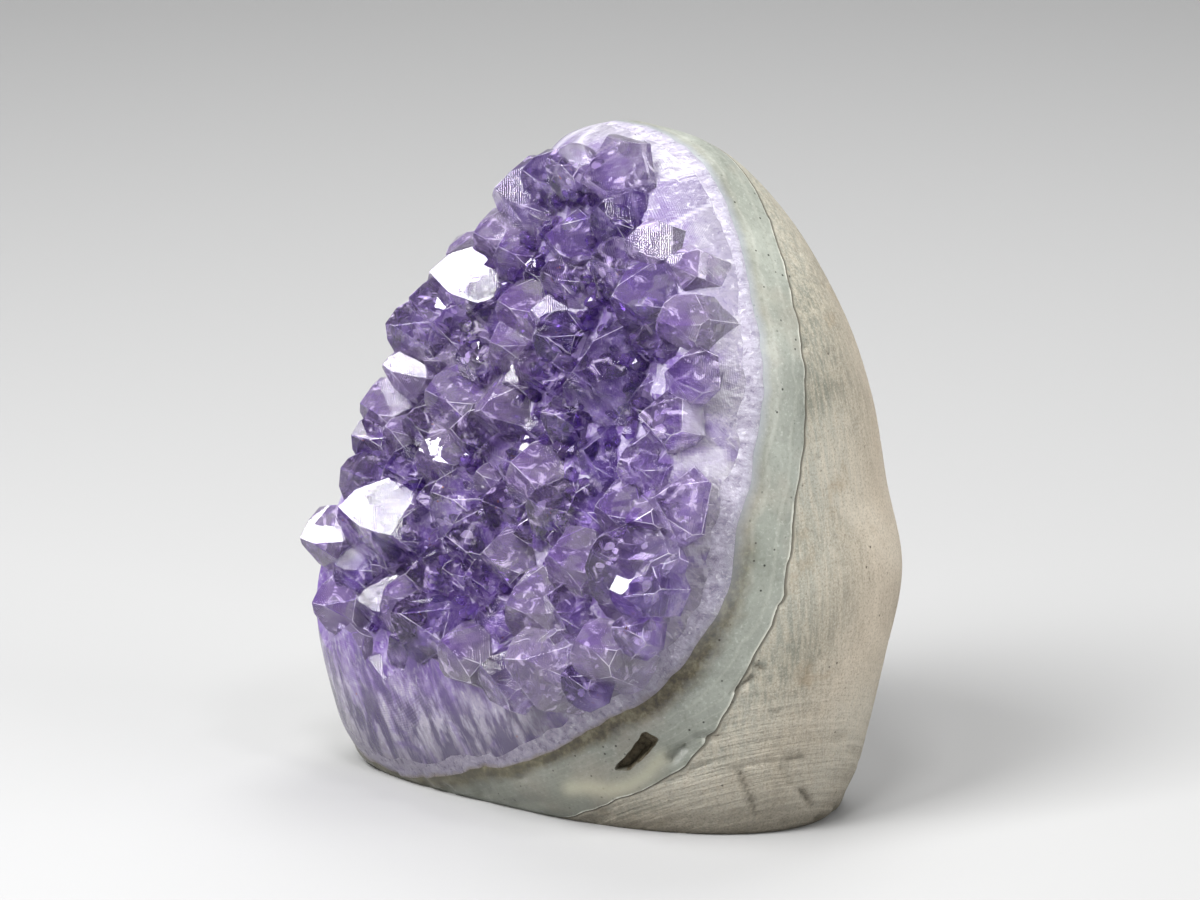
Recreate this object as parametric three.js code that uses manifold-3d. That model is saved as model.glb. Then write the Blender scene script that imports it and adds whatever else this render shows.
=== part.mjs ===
// A cut-base amethyst cluster: a wedge of geode wall, ground smooth at the sides, back, top and base,
// with its open face of amethyst crystals left as it grew. Millimetres, +Z up.
// The origin is the middle of the flat base, and the crystal face looks towards -Y.
import * as THREE from "three";
import { ConvexGeometry } from "three/addons/geometries/ConvexGeometry.js";
import { mergeVertices } from "three/addons/utils/BufferGeometryUtils.js";
import Module from "manifold-3d";

const wasm = await Module();
wasm.setup();

// Driving sizes
const TOP_HEIGHT = 114.5;
const LAYER_GAP = 0.3; // between layers that touch
const OUTLINE_STEPS = 44;
const OUTLINE_RINGS = 18;

// Ground outline of the stone, as level sections. Between them the sizes follow smooth curves.
// height, half width along X, half depth along Y, middle along X, middle along Y, squareness of the
// left and of the right half, and how far the right side stands behind the left, as a slope
const SECTIONS = [
  [0, 43.0, 24.0, -1.0, 3.0, 3.6, 2.1, 0.06],
  [1.2, 44.6, 25.4, -1.0, 3.0, 3.6, 2.1, 0.06],
  [3.5, 45.6, 26.4, -0.9, 2.8, 3.6, 2.1, 0.06],
  [10, 47.9, 28.2, -0.9, 2.2, 3.4, 2.2, 0.07],
  [27, 50.3, 31.2, -0.3, 1.0, 3.0, 2.3, 0.1],
  [42, 49.4, 33.0, 1.9, 1.0, 2.7, 2.4, 0.12],
  [56, 45.9, 33.0, 2.6, 1.3, 2.5, 2.4, 0.09],
  [70, 42.2, 31.5, 3.6, 2.3, 2.4, 2.4, 0.06],
  [84, 38.0, 27.5, 3.6, 3.0, 2.4, 2.4, 0.03],
  [97, 27.2, 22.0, 5.6, 5.0, 2.3, 2.3, 0],
  [107, 19.2, 15.2, 3.8, 6.2, 2.2, 2.2, 0],
  [112, 13.0, 9.5, 1.6, 6.6, 2.1, 2.1, 0],
  [TOP_HEIGHT, 4.0, 2.5, 0.0, 7.0, 2.0, 2.0, 0],
];

// Where the crystals are rooted on the agate, as y over x and z: a wall that leans back, comes
// forward to the right and curls forward at the foot.
const WALL = { foot: -25.2, lean: 0.285, side: -0.1, curl: 7.5, curlHeight: 4 };
const FLOOR = { middle: 4.8, slope: 0.46 };
const AGATE = { thick: 8.5, drop: 12.5 };
const CRUST_THICK = 13; // solid quartz below the crystal points
const WAVE = { size: 0.7, across: 11, up: 8 };
const LAYER_GRID = { x: 10, z: 16, halfWidth: 60, low: -14, high: 126, near: -75 };

// Crystals stand clear when their tips are above low and below top and, on the right half, when
// they are rooted further in than inside. The others are ground off with the stone.
const FREE = { low: 27, top: 112, inside: 0.88 };

// The eye of the three-quarter view that the crystals were set out from
const VIEW = { azimuth: 42, elevation: 13, distance: 900, aimHeight: 59 };

// Crystal form
const POINT_ANGLE = 51.8; // between the long axis and each point face's normal, in degrees
const ROOT_COVER = 3; // solid quartz left behind a crystal's foot

// The crystals that stand out, as seen in the three-quarter view.
// across and rise of the tip in mm from the middle of the base, width,
// turn about its own axis in degrees, lean to the right, lean upwards, stand from the roots
const CRYSTALS = [
  [-18.5, 102, 13.5, 10, -0.25, 0.1, 19],
  [-9.5, 107.2, 9, 40, 0, 0.2, 18],
  [5.5, 103.4, 13.5, 20, 0.1, 0.15, 16],
  [-9.8, 94, 10.5, 0, -0.1, 0.1, 18],
  [-2.4, 94.6, 13.5, 35, 0.1, 0, 14],
  [3.3, 94.6, 8.5, 15, 0.2, 0, 14],
  [10.6, 96.3, 14.5, 50, 0.15, 0, 18],
  [11.2, 87.3, 14.5, 25, 0.1, 0, 18],
  [0.1, 84.4, 11, 5, 0, 0, 13],
  [-17.9, 83, 11.5, 30, -0.1, 0.1, 19],
  [-29.5, 87.8, 15, 12, -0.2, 0.15, 21],
  [-37, 79, 11, 45, -0.35, 0.1, 21],
  [-24.8, 74.2, 7.5, 20, -0.1, 0.1, 19],
  [-5.2, 70.8, 23, 28, 0, 0.05, 21],
  [-10.6, 64, 8.5, 55, -0.1, 0.2, 18],
  [-20.3, 58.4, 8.5, 10, -0.1, 0.1, 17],
  [-30.2, 67.7, 13.5, 35, -0.15, 0.2, 20],
  [-25.9, 61.2, 11, 5, -0.1, 0, 18],
  [-41.3, 65.5, 11, 25, -0.3, 0.1, 20],
  [-44.6, 54.5, 12, 40, -0.3, 0.2, 21],
  [-45, 47.8, 17.5, 15, -0.3, 0.1, 23],
  [-51.5, 42.5, 10, 30, -0.4, -0.1, 20],
  [-29.3, 50.4, 13.5, 50, -0.1, 0.1, 20],
  [-15.7, 55.5, 14.5, 22, 0, 0.2, 19],
  [-3.3, 57.5, 12, 8, 0.1, 0, 17],
  [-12.8, 49.3, 11, 33, 0, 0.1, 19],
  [-5.5, 48.2, 10.5, 48, 0.1, 0, 17],
  [-26.8, 43, 14.5, 18, -0.1, -0.1, 20],
  [-9.4, 39.7, 10.5, 27, 0, 0.1, 20],
  [-2.1, 40.8, 14.5, 42, 0.05, 0.2, 22],
  [9.8, 37.1, 14, 12, 0.1, 0, 20],
  [-16.6, 31.2, 14.5, 36, -0.05, 0, 19],
  [-36.1, 30, 12, 52, -0.2, 0.2, 21],
  [-27.6, 25.2, 11, 24, -0.1, 0.2, 19],
  [-49, 23.5, 11, 3, -0.2, 0.1, 20],
  [-35.3, 21, 10, 31, -0.1, 0.1, 18],
  [-20.8, 21, 11, 14, -0.05, 0.1, 18],
  [-4.7, 25.2, 10, 46, 0.05, 0.1, 19],
  [8.9, 63.5, 14.5, 29, -0.15, 0.1, 21],
  [7.2, 48, 13.5, 0, -0.15, 0.1, 22],
  [14.9, 61, 11, 38, 0.1, 0, 19],
  [16.6, 49, 18.5, 20, 0.1, 0, 19],
  [14, 77, 17, 44, 0.1, 0, 19],
  [-33.6, 36.3, 10, 9, -0.2, 0, 18],
  [-23.4, 36.3, 11, 26, -0.1, 0, 18],
  [-12.3, 81.3, 12, 17, 0, 0.1, 17],
  [6.4, 78, 11, 51, 0.1, 0, 13],
  [-10.6, 88, 12, 34, -0.05, 0.1, 18],
  [-4.5, 111, 11, 6, 0, 0.3, 16],
  [4.7, 108.5, 11, 41, 0.1, 0.3, 15],
  [14.9, 103.4, 14.5, 23, 0.1, 0.2, 16],
  [20, 95, 12, 37, 0.1, 0.1, 16],
  [-41.8, 32, 10, 19, -0.3, 0, 19],
  [-49.5, 31.5, 10, 47, -0.4, 0, 19],
  [6.4, 28.6, 11, 11, 0.1, 0, 18],
  [14.9, 30, 10, 32, 0.1, 0, 17],
  [-13.8, 105.2, 10, 25, -0.15, 0.2, 18],
  [-22, 94.5, 10, 33, -0.2, 0.1, 18],
  [-33, 83.5, 9, 8, -0.3, 0.1, 20],
  [-42.8, 60, 9.5, 48, -0.35, 0.1, 20],
  [-37.5, 72, 10, 15, -0.3, 0.1, 20],
];

// Crystals that fill in between and beyond the view, set out on the crust by a seeded scatter.
// FAR_SIDE is how far left they reach in the three-quarter view, as rise and across.
const FILL = { seed: 7, tries: 1500, left: -50, right: 50, low: 2, high: 112, spacing: 0.295, inside: 0.94 };
const FILL_WIDTH = { least: 9, most: 14 };
const FILL_STAND = { least: 15, most: 20 };

// Smaller crystals grown later between the large ones
const YOUNG = { seed: 23, tries: 2600, high: 118, spacing: 0.34, inside: 1, tilt: 0.26 };
const YOUNG_WIDTH = { least: 7, most: 11 };
const YOUNG_STAND = { least: 14, most: 17 };
const FAR_SIDE = [
  [0, -47],
  [42, -51],
  [60, -41],
  [78, -37],
  [88, -32],
  [101, -20],
  [112, -7],
];
const TILT = 0.16; // how far a crystal strays from square to the wall
const FACE_SHIFT = { point: 0.16, side: 0.1 }; // uneven faces, as shares of the crystal's radius

// Weathered pocket in the agate at the foot, a slit seen in the three-quarter view
const POCKET = { across: 4.7, rise: 5.3, long: 11.5, high: 3.2, deep: 3.5, turn: 38 };

const COLOURS = { basalt: 0x9a8a76, agate: 0x8f9a92, amethyst: 0x8a63c4 };

// A repeatable source of random numbers from 0 to 1.
function randomFrom(seed) {
  let state = seed >>> 0;
  return () => {
    state = (state + 0x6d2b79f5) >>> 0;
    let t = state;
    t = Math.imul(t ^ (t >>> 15), t | 1);
    t ^= t + Math.imul(t ^ (t >>> 7), t | 61);
    return ((t ^ (t >>> 14)) >>> 0) / 4294967296;
  };
}

// A closed solid from a geometry, with its shared vertices merged.
function solidFrom(geometry) {
  const bare = geometry.clone();
  bare.deleteAttribute("normal");
  bare.deleteAttribute("uv");
  const merged = mergeVertices(bare, 1e-4);
  return new wasm.Manifold(
    new wasm.Mesh({
      numProp: 3,
      vertProperties: new Float32Array(merged.attributes.position.array),
      triVerts: new Uint32Array(merged.index.array),
    }),
  );
}

// The largest single body of a solid, without its loose crumbs and sealed hollows.
function largestBody(solid) {
  const bodies = solid.decompose();
  return bodies.reduce((best, body) => (body.volume() > best.volume() ? body : best));
}

// A named mesh from a solid.
function meshFrom(name, solid, colour, roughness) {
  const made = solid.getMesh();
  const geometry = new THREE.BufferGeometry();
  geometry.setAttribute("position", new THREE.BufferAttribute(made.vertProperties, 3));
  geometry.setIndex(new THREE.BufferAttribute(made.triVerts, 1));
  geometry.computeVertexNormals();
  const material = new THREE.MeshStandardMaterial({ color: colour, roughness, metalness: 0 });
  const mesh = new THREE.Mesh(geometry, material);
  mesh.name = name;
  return mesh;
}

// A closed solid whose rows of points are stacked loops, with a cap on the first and the last.
function stackedSolid(rings) {
  const count = rings[0].length;
  const points = rings.flat();
  const index = [];
  for (let ring = 0; ring + 1 < rings.length; ring += 1) {
    for (let i = 0; i < count; i += 1) {
      const a = ring * count + i;
      const b = ring * count + ((i + 1) % count);
      index.push(a, b, b + count, a, b + count, a + count);
    }
  }
  const last = (rings.length - 1) * count;
  for (let i = 1; i + 1 < count; i += 1) {
    index.push(0, i + 1, i);
    index.push(last, last + i, last + i + 1);
  }
  const geometry = new THREE.BufferGeometry().setFromPoints(points);
  geometry.setIndex(index);
  return solidFrom(geometry);
}

// The sizes of the ground outline at a share of the way up its sections.
function sectionAt(share) {
  const place = share * (SECTIONS.length - 1);
  const i = Math.min(Math.floor(place), SECTIONS.length - 2);
  const t = place - i;
  const row = (k) => SECTIONS[Math.min(Math.max(k, 0), SECTIONS.length - 1)];
  return SECTIONS[0].map((_, k) => {
    const [a, b, c, d] = [row(i - 1)[k], row(i)[k], row(i + 1)[k], row(i + 2)[k]];
    return b + 0.5 * t * (c - a + t * (2 * a - 5 * b + 4 * c - d + t * (3 * (b - c) + d - a)));
  });
}

// One level loop of the ground outline, a rounded oblong.
function outlineLoop(section) {
  const [z, halfWidth, halfDepth, midX, midY, squareLeft, squareRight, slope] = section;
  const loop = [];
  for (let i = 0; i < OUTLINE_STEPS; i += 1) {
    const angle = (2 * Math.PI * i) / OUTLINE_STEPS;
    const [c, s] = [Math.cos(angle), Math.sin(angle)];
    const square = c < 0 ? squareLeft : squareRight;
    const x = Math.sign(c) * Math.abs(c) ** (2 / square) * halfWidth;
    const y = Math.sign(s) * Math.abs(s) ** (2 / square) * halfDepth;
    loop.push(new THREE.Vector3(midX + x, midY + y + slope * x, z));
  }
  return loop;
}

// How far out a point lies in the ground outline: 0 on its axis, 1 on its surface.
function outwardness(p) {
  let [low, high] = [0, 1];
  for (let i = 0; i < 20; i += 1) {
    const middle = (low + high) / 2;
    if (sectionAt(middle)[0] < p.z) low = middle;
    else high = middle;
  }
  const [, halfWidth, halfDepth, midX, midY, squareLeft, squareRight, slope] = sectionAt(low);
  const x = p.x - midX;
  const square = x < 0 ? squareLeft : squareRight;
  const y = p.y - midY - slope * x;
  return (Math.abs(x / halfWidth) ** square + Math.abs(y / halfDepth) ** square) ** (1 / square);
}

// The whole stone inside its ground outline.
function groundOutline() {
  const rings = [];
  for (let i = 0; i <= OUTLINE_RINGS; i += 1) rings.push(outlineLoop(sectionAt(i / OUTLINE_RINGS)));
  return stackedSolid(rings);
}

// The height of the crystals' foot at x.
function floorHeight(x) {
  return FLOOR.middle + FLOOR.slope * x;
}

// The y of a layer of the wall at x and z. offset is its distance behind the crystals' roots and
// drop is how far its foot lies below theirs.
function wallAt(x, z, offset = 0, drop = 0) {
  const above = z - floorHeight(x) + drop;
  const wave = WAVE.size * Math.sin(x / WAVE.across + z / WAVE.up) * Math.cos(x / WAVE.up - z / WAVE.across);
  const curl = WALL.curl * Math.exp(-above / WALL.curlHeight);
  return WALL.foot + WALL.lean * z + WALL.side * x + offset + wave - curl;
}

// The direction in which crystals grow from the wall at x and z.
function growthAt(x, z) {
  const step = 0.5;
  const slopeX = (wallAt(x + step, z) - wallAt(x - step, z)) / (2 * step);
  const slopeZ = (wallAt(x, z + step) - wallAt(x, z - step)) / (2 * step);
  return new THREE.Vector3(slopeX, -1, slopeZ).normalize();
}

// Everything in front of a layer of the wall, as one closed solid.
function inFrontOfWall(offset, drop = 0) {
  const { x: nx, z: nz, halfWidth, low, high, near } = LAYER_GRID;
  const points = [];
  for (const front of [false, true]) {
    for (let j = 0; j <= nz; j += 1) {
      for (let i = 0; i <= nx; i += 1) {
        const x = -halfWidth + (2 * halfWidth * i) / nx;
        const z = low + ((high - low) * j) / nz;
        const wall = Math.max(wallAt(x, z, offset, drop), near + 1);
        points.push(new THREE.Vector3(x, front ? near : wall, z));
      }
    }
  }
  const layer = (nx + 1) * (nz + 1);
  const at = (i, j, front) => (front ? layer : 0) + j * (nx + 1) + i;
  const index = [];
  const quad = (a, b, c, d) => index.push(a, b, c, a, c, d);
  for (let j = 0; j < nz; j += 1) {
    for (let i = 0; i < nx; i += 1) {
      quad(at(i, j, 0), at(i, j + 1, 0), at(i + 1, j + 1, 0), at(i + 1, j, 0));
      quad(at(i, j, 1), at(i + 1, j, 1), at(i + 1, j + 1, 1), at(i, j + 1, 1));
    }
  }
  for (let i = 0; i < nx; i += 1) {
    quad(at(i, 0, 0), at(i + 1, 0, 0), at(i + 1, 0, 1), at(i, 0, 1));
    quad(at(i, nz, 0), at(i, nz, 1), at(i + 1, nz, 1), at(i + 1, nz, 0));
  }
  for (let j = 0; j < nz; j += 1) {
    quad(at(0, j, 0), at(0, j, 1), at(0, j + 1, 1), at(0, j + 1, 0));
    quad(at(nx, j, 0), at(nx, j + 1, 0), at(nx, j + 1, 1), at(nx, j, 1));
  }
  const geometry = new THREE.BufferGeometry().setFromPoints(points);
  geometry.setIndex(index);
  return solidFrom(geometry);
}

// The corners of the convex body that a list of planes encloses.
function cornersOf(planes) {
  const corners = [];
  const meet = new THREE.Matrix3();
  for (let i = 0; i < planes.length; i += 1) {
    for (let j = i + 1; j < planes.length; j += 1) {
      for (let k = j + 1; k < planes.length; k += 1) {
        const [a, b, c] = [planes[i], planes[j], planes[k]];
        meet.set(...a.normal.toArray(), ...b.normal.toArray(), ...c.normal.toArray());
        if (Math.abs(meet.determinant()) < 1e-6) continue;
        const at = new THREE.Vector3(a.reach, b.reach, c.reach).applyMatrix3(meet.invert());
        const inside = planes.every((p) => p.normal.dot(at) <= p.reach + 1e-6);
        if (inside && !corners.some((p) => p.distanceTo(at) < 1e-3)) corners.push(at);
      }
    }
  }
  return corners;
}

// One quartz crystal: a six-sided prism under a six-faced point, with uneven faces.
function crystalSolid({ tip, axis, width, turn, length }, random) {
  const radius = width / 2;
  const tilt = THREE.MathUtils.degToRad(POINT_ANGLE);
  const planes = [{ normal: new THREE.Vector3(0, 0, -1), reach: length }];
  for (let face = 0; face < 6; face += 1) {
    const angle = THREE.MathUtils.degToRad(turn + 60 * face);
    const [c, s] = [Math.cos(angle), Math.sin(angle)];
    const minor = face % 2 ? FACE_SHIFT.point * radius * (0.6 + random()) : 0;
    const side = radius * (1 + FACE_SHIFT.side * (2 * random() - 1));
    const slope = new THREE.Vector3(c * Math.sin(tilt), s * Math.sin(tilt), Math.cos(tilt));
    planes.push({ normal: slope, reach: minor });
    planes.push({ normal: new THREE.Vector3(c, s, 0), reach: side });
  }
  const stand = new THREE.Quaternion().setFromUnitVectors(new THREE.Vector3(0, 0, 1), axis);
  const corners = cornersOf(planes).map((p) => p.applyQuaternion(stand).add(tip));
  return solidFrom(new ConvexGeometry(corners));
}

// The eye and the directions of the three-quarter view.
function threeQuarterView() {
  const azimuth = THREE.MathUtils.degToRad(VIEW.azimuth);
  const elevation = THREE.MathUtils.degToRad(VIEW.elevation);
  const right = new THREE.Vector3(Math.cos(azimuth), Math.sin(azimuth), 0);
  const back = new THREE.Vector3(
    Math.sin(azimuth) * Math.cos(elevation),
    -Math.cos(azimuth) * Math.cos(elevation),
    Math.sin(elevation),
  );
  const up = new THREE.Vector3().crossVectors(back, right);
  const aim = new THREE.Vector3(0, 0, VIEW.aimHeight);
  return { right, up, back, aim, eye: aim.clone().addScaledVector(back, VIEW.distance) };
}

// Where the sight line of a place in the three-quarter view meets the wall, brought forward by stand.
function seenOnWall(view, across, rise, stand) {
  const aimRise = VIEW.aimHeight * view.up.z;
  const target = view.aim.clone();
  target.addScaledVector(view.right, across);
  target.addScaledVector(view.up, rise - aimRise);
  const way = target.sub(view.eye).normalize();
  const inFront = (reach) => {
    const p = view.eye.clone().addScaledVector(way, reach);
    const growth = growthAt(p.x, p.z);
    return (wallAt(p.x, p.z) - p.y) * -growth.y - stand;
  };
  let near = VIEW.distance - 120;
  let far = VIEW.distance + 120;
  for (let i = 0; i < 40; i += 1) {
    const middle = (near + far) / 2;
    if (inFront(middle) > 0) near = middle;
    else far = middle;
  }
  return view.eye.clone().addScaledVector(way, near);
}

// Where a point appears in the three-quarter view, as across and rise.
function placeInView(view, p) {
  const away = p.clone().sub(view.aim);
  const nearer = VIEW.distance / (VIEW.distance - away.dot(view.back));
  const aimRise = VIEW.aimHeight * view.up.z;
  return { across: away.dot(view.right) * nearer, rise: aimRise + away.dot(view.up) * nearer };
}

// How far left the crystals reach at a rise in the three-quarter view.
function farSide(rise) {
  const i = Math.max(1, FAR_SIDE.findIndex((row) => row[0] > rise));
  const [[r0, a0], [r1, a1]] = [FAR_SIDE[i - 1], FAR_SIDE[i]];
  return a0 + ((a1 - a0) * (rise - r0)) / (r1 - r0);
}

// Where the sight line of a place in the three-quarter view meets the ground outline.
function seenOnStone(view, across, rise) {
  const target = view.aim.clone().addScaledVector(view.right, across);
  target.addScaledVector(view.up, rise - VIEW.aimHeight * view.up.z);
  const way = target.sub(view.eye).normalize();
  let near = VIEW.distance - 70;
  let far = VIEW.distance;
  for (let i = 0; i < 40; i += 1) {
    const middle = (near + far) / 2;
    if (outwardness(view.eye.clone().addScaledVector(way, middle)) > 1) near = middle;
    else far = middle;
  }
  return view.eye.clone().addScaledVector(way, near);
}

// The weathered pocket, a six-cornered slit that narrows with depth.
function pocketSolid() {
  const view = threeQuarterView();
  const mouth = seenOnStone(view, POCKET.across, POCKET.rise);
  const turn = THREE.MathUtils.degToRad(POCKET.turn);
  const along = view.right.clone().multiplyScalar(Math.cos(turn)).addScaledVector(view.up, Math.sin(turn));
  const over = new THREE.Vector3().crossVectors(view.back, along);
  const corners = [];
  for (const [depth, grow] of [[-2, 1], [POCKET.deep, 0.55]]) {
    for (const [u, v] of [[-1, 0], [-0.6, 1], [0.5, 0.8], [1, 0.1], [0.6, -1], [-0.5, -0.7]]) {
      const corner = mouth.clone().addScaledVector(view.back, -depth);
      corner.addScaledVector(along, (grow * u * POCKET.long) / 2);
      corners.push(corner.addScaledVector(over, (grow * v * POCKET.high) / 2));
    }
  }
  return solidFrom(new ConvexGeometry(corners));
}

// The list of all crystals: those set out by hand, then the fill between them.
function crystalList() {
  const view = threeQuarterView();
  const random = randomFrom(FILL.seed);
  const stray = () => TILT * (2 * random() - 1);
  const list = CRYSTALS.map(([across, rise, width, turn, leanRight, leanUp, stand]) => {
    const tip = seenOnWall(view, across, rise, stand);
    const axis = growthAt(tip.x, tip.z);
    axis.addScaledVector(view.right, leanRight).addScaledVector(view.up, leanUp);
    return { tip, axis: axis.normalize(), width, turn, length: stand - ROOT_COVER };
  });
  for (let i = 0; i < FILL.tries; i += 1) {
    const x = FILL.left + (FILL.right - FILL.left) * random();
    const z = FILL.low + (FILL.high - FILL.low) * random();
    const width = FILL_WIDTH.least + (FILL_WIDTH.most - FILL_WIDTH.least) * random() ** 1.5;
    const stand = FILL_STAND.least + (FILL_STAND.most - FILL_STAND.least) * random();
    const growth = growthAt(x, z);
    const root = new THREE.Vector3(x, wallAt(x, z), z);
    const tip = root.clone().addScaledVector(growth, stand);
    const axis = growth.clone().add(new THREE.Vector3(stray(), stray(), stray())).normalize();
    const turn = 60 * random();
    const clear = list.every((c) => c.tip.distanceTo(tip) > FILL.spacing * (c.width + width));
    const seen = placeInView(view, tip);
    const within = outwardness(root) < FILL.inside && seen.across - width / 3 > farSide(seen.rise);
    if (clear && within) list.push({ tip, axis, width, turn, length: stand - ROOT_COVER });
  }
  addYoung(list, view);
  return list;
}

// Adds smaller crystals between the large ones and out to the ground edges.
function addYoung(list, view) {
  const random = randomFrom(YOUNG.seed);
  const stray = () => YOUNG.tilt * (2 * random() - 1);
  for (let i = 0; i < YOUNG.tries; i += 1) {
    const x = FILL.left + (FILL.right - FILL.left) * random();
    const z = YOUNG.high * random();
    const width = YOUNG_WIDTH.least + (YOUNG_WIDTH.most - YOUNG_WIDTH.least) * random() ** 2;
    const stand = YOUNG_STAND.least + (YOUNG_STAND.most - YOUNG_STAND.least) * random();
    const strayed = new THREE.Vector3(stray(), stray(), stray());
    const turn = 60 * random();
    const growth = growthAt(x, z);
    const root = new THREE.Vector3(x, wallAt(x, z), z);
    const tip = root.clone().addScaledVector(growth, stand);
    const clear = list.every((c) => c.tip.distanceTo(tip) > YOUNG.spacing * (c.width + width));
    const seen = placeInView(view, tip);
    const within = outwardness(root) <= YOUNG.inside && seen.across - width / 3 > farSide(seen.rise);
    const axis = growth.add(strayed).normalize();
    if (clear && within) list.push({ tip, axis, width, turn, length: stand - ROOT_COVER });
  }
}

// The crust: solid quartz along the wall with every crystal grown into it, ground off with the stone
// except where the crystals stand clear.
function amethystCrust(stone) {
  const random = randomFrom(FILL.seed + 1);
  const clear = [];
  const ground = [inFrontOfWall(-LAYER_GAP).subtract(inFrontOfWall(-CRUST_THICK))];
  for (const crystal of crystalList()) {
    const { x, z } = crystal.tip;
    const wellIn = x < 0 || outwardness(new THREE.Vector3(x, wallAt(x, z), z)) < FREE.inside;
    const standsClear = z > FREE.low && z < FREE.top && wellIn;
    (standsClear ? clear : ground).push(crystalSolid(crystal, random));
  }
  const cut = wasm.Manifold.union(ground).intersect(stone);
  return largestBody(wasm.Manifold.union([cut, ...clear]).intersect(inFrontOfWall(-LAYER_GAP)));
}

const stone = groundOutline();
const frontOfRoots = inFrontOfWall(0);
const frontOfBasalt = inFrontOfWall(AGATE.thick, AGATE.drop);
const frontOfGap = inFrontOfWall(AGATE.thick + LAYER_GAP, AGATE.drop + LAYER_GAP);
const basalt = largestBody(stone.subtract(frontOfGap));
const band = stone.intersect(frontOfBasalt).subtract(frontOfRoots);
const agate = largestBody(band.subtract(pocketSolid()));

const cluster = new THREE.Group();
cluster.add(meshFrom("basalt_matrix", basalt, COLOURS.basalt, 0.85));
cluster.add(meshFrom("agate_band", agate, COLOURS.agate, 0.45));
cluster.add(meshFrom("amethyst_crystals", amethystCrust(stone), COLOURS.amethyst, 0.12));

export default cluster;
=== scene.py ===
"""A cut-base amethyst cluster on a pale studio floor.

Lengths in the classes are in millimetres, in the row's own frame, and become metres when a mesh is made.
The stone's ground outline, its crystal wall and the crystals follow the same rules as the solids,
only finer: the three layers are cut from one finely ground stone, and the crystals are grown into it.
"""

import itertools
import logging
import math
from dataclasses import dataclass, field
from enum import Enum
from typing import Callable, Iterable, Sequence

import bmesh
import bpy
import numpy as np
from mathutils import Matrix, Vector

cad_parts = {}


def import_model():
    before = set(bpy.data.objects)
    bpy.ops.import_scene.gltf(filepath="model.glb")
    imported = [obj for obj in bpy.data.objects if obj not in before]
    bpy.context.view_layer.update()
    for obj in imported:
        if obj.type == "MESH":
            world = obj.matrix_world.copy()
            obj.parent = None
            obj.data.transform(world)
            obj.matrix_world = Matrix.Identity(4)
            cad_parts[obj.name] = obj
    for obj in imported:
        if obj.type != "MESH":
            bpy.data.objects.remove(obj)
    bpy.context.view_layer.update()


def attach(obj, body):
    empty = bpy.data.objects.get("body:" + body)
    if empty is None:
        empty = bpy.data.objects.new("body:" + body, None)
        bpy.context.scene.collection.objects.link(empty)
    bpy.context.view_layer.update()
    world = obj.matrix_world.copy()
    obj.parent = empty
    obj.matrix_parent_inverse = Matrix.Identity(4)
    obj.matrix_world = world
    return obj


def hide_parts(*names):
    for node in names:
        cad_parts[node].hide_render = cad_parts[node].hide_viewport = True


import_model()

log = logging.getLogger("amethyst_cluster")

MM = 0.001
QUARTZ_INDEX = 1.544
HALVINGS = 40
CREASE = math.radians(35)
HASH_PRIMES = (73856093, 19349663, 83492791)

Obj = bpy.types.Object
Socket = bpy.types.NodeSocket
Random = Callable[[], float]


class Layer(Enum):
    """The stone's layers from the back to the front, each with its slot and the solid it stands for."""

    BASALT = ("basalt", "basalt_matrix")
    AGATE = ("agate", "agate_band")
    QUARTZ = ("amethyst", "amethyst_crystals")


class Clarity(Enum):
    """How clear a crystal has grown."""

    CLEAR = "clear"
    CLOUDY = "cloudy"


class Keep(Enum):
    """Which part of a mesh stays when a layer of the wall cuts it."""

    FRONT = "INTERSECT"
    BACK = "DIFFERENCE"


# Helpers


def random_from(seed: int) -> Random:
    """A repeatable source of random numbers from 0 to 1, the same as the solids use.

    Args:
        seed: The starting state.

    Returns:
        A function that gives the next number.
    """
    state = seed & 0xFFFFFFFF

    def step() -> float:
        """The next number."""
        nonlocal state
        state = (state + 0x6D2B79F5) & 0xFFFFFFFF
        t = state
        t = ((t ^ (t >> 15)) * (t | 1)) & 0xFFFFFFFF
        t ^= (t + ((t ^ (t >> 7)) * (t | 61) & 0xFFFFFFFF)) & 0xFFFFFFFF
        return ((t ^ (t >> 14)) & 0xFFFFFFFF) / 4294967296

    return step


def mesh_object(name: str, points: np.ndarray, faces: Iterable[Sequence[int]]) -> Obj:
    """A linked mesh object with its place in its mesh.

    Args:
        name: The object's and the mesh's name.
        points: The vertices in millimetres, one row each.
        faces: Vertex numbers of each face, turning anticlockwise seen from outside.

    Returns:
        The new object.
    """
    mesh = bpy.data.meshes.new(name)
    mesh.from_pydata((np.asarray(points) * MM).tolist(), [], [list(f) for f in faces])
    mesh.update()
    obj = bpy.data.objects.new(name, mesh)
    bpy.context.scene.collection.objects.link(obj)
    return obj


def read(
    items: bpy.types.bpy_prop_collection, name: str, columns: int = 1, kind: type = float
) -> np.ndarray:
    """A property of all vertices, faces or corners of a mesh, one row each."""
    flat = np.empty(len(items) * columns, dtype=kind)
    items.foreach_get(name, flat)
    return flat.reshape(-1, columns) if columns > 1 else flat


def points_of(obj: Obj) -> np.ndarray:
    """The vertices of an object's mesh in millimetres, one row each."""
    return read(obj.data.vertices, "co", 3) / MM


def put_points(obj: Obj, points: np.ndarray) -> None:
    """Moves the vertices of an object's mesh to points in millimetres."""
    obj.data.vertices.foreach_set("co", (points * MM).ravel())
    obj.data.update()


def baked(obj: Obj) -> Obj:
    """Turns an object's evaluated shape into its plain mesh and removes its modifiers.

    Args:
        obj: The object with live modifiers.

    Returns:
        The same object.
    """
    graph = bpy.context.evaluated_depsgraph_get()
    made = bpy.data.meshes.new_from_object(obj.evaluated_get(graph), depsgraph=graph)
    old = obj.data
    obj.modifiers.clear()
    obj.data = made
    made.name = obj.name
    bpy.data.meshes.remove(old)
    return obj


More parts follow.
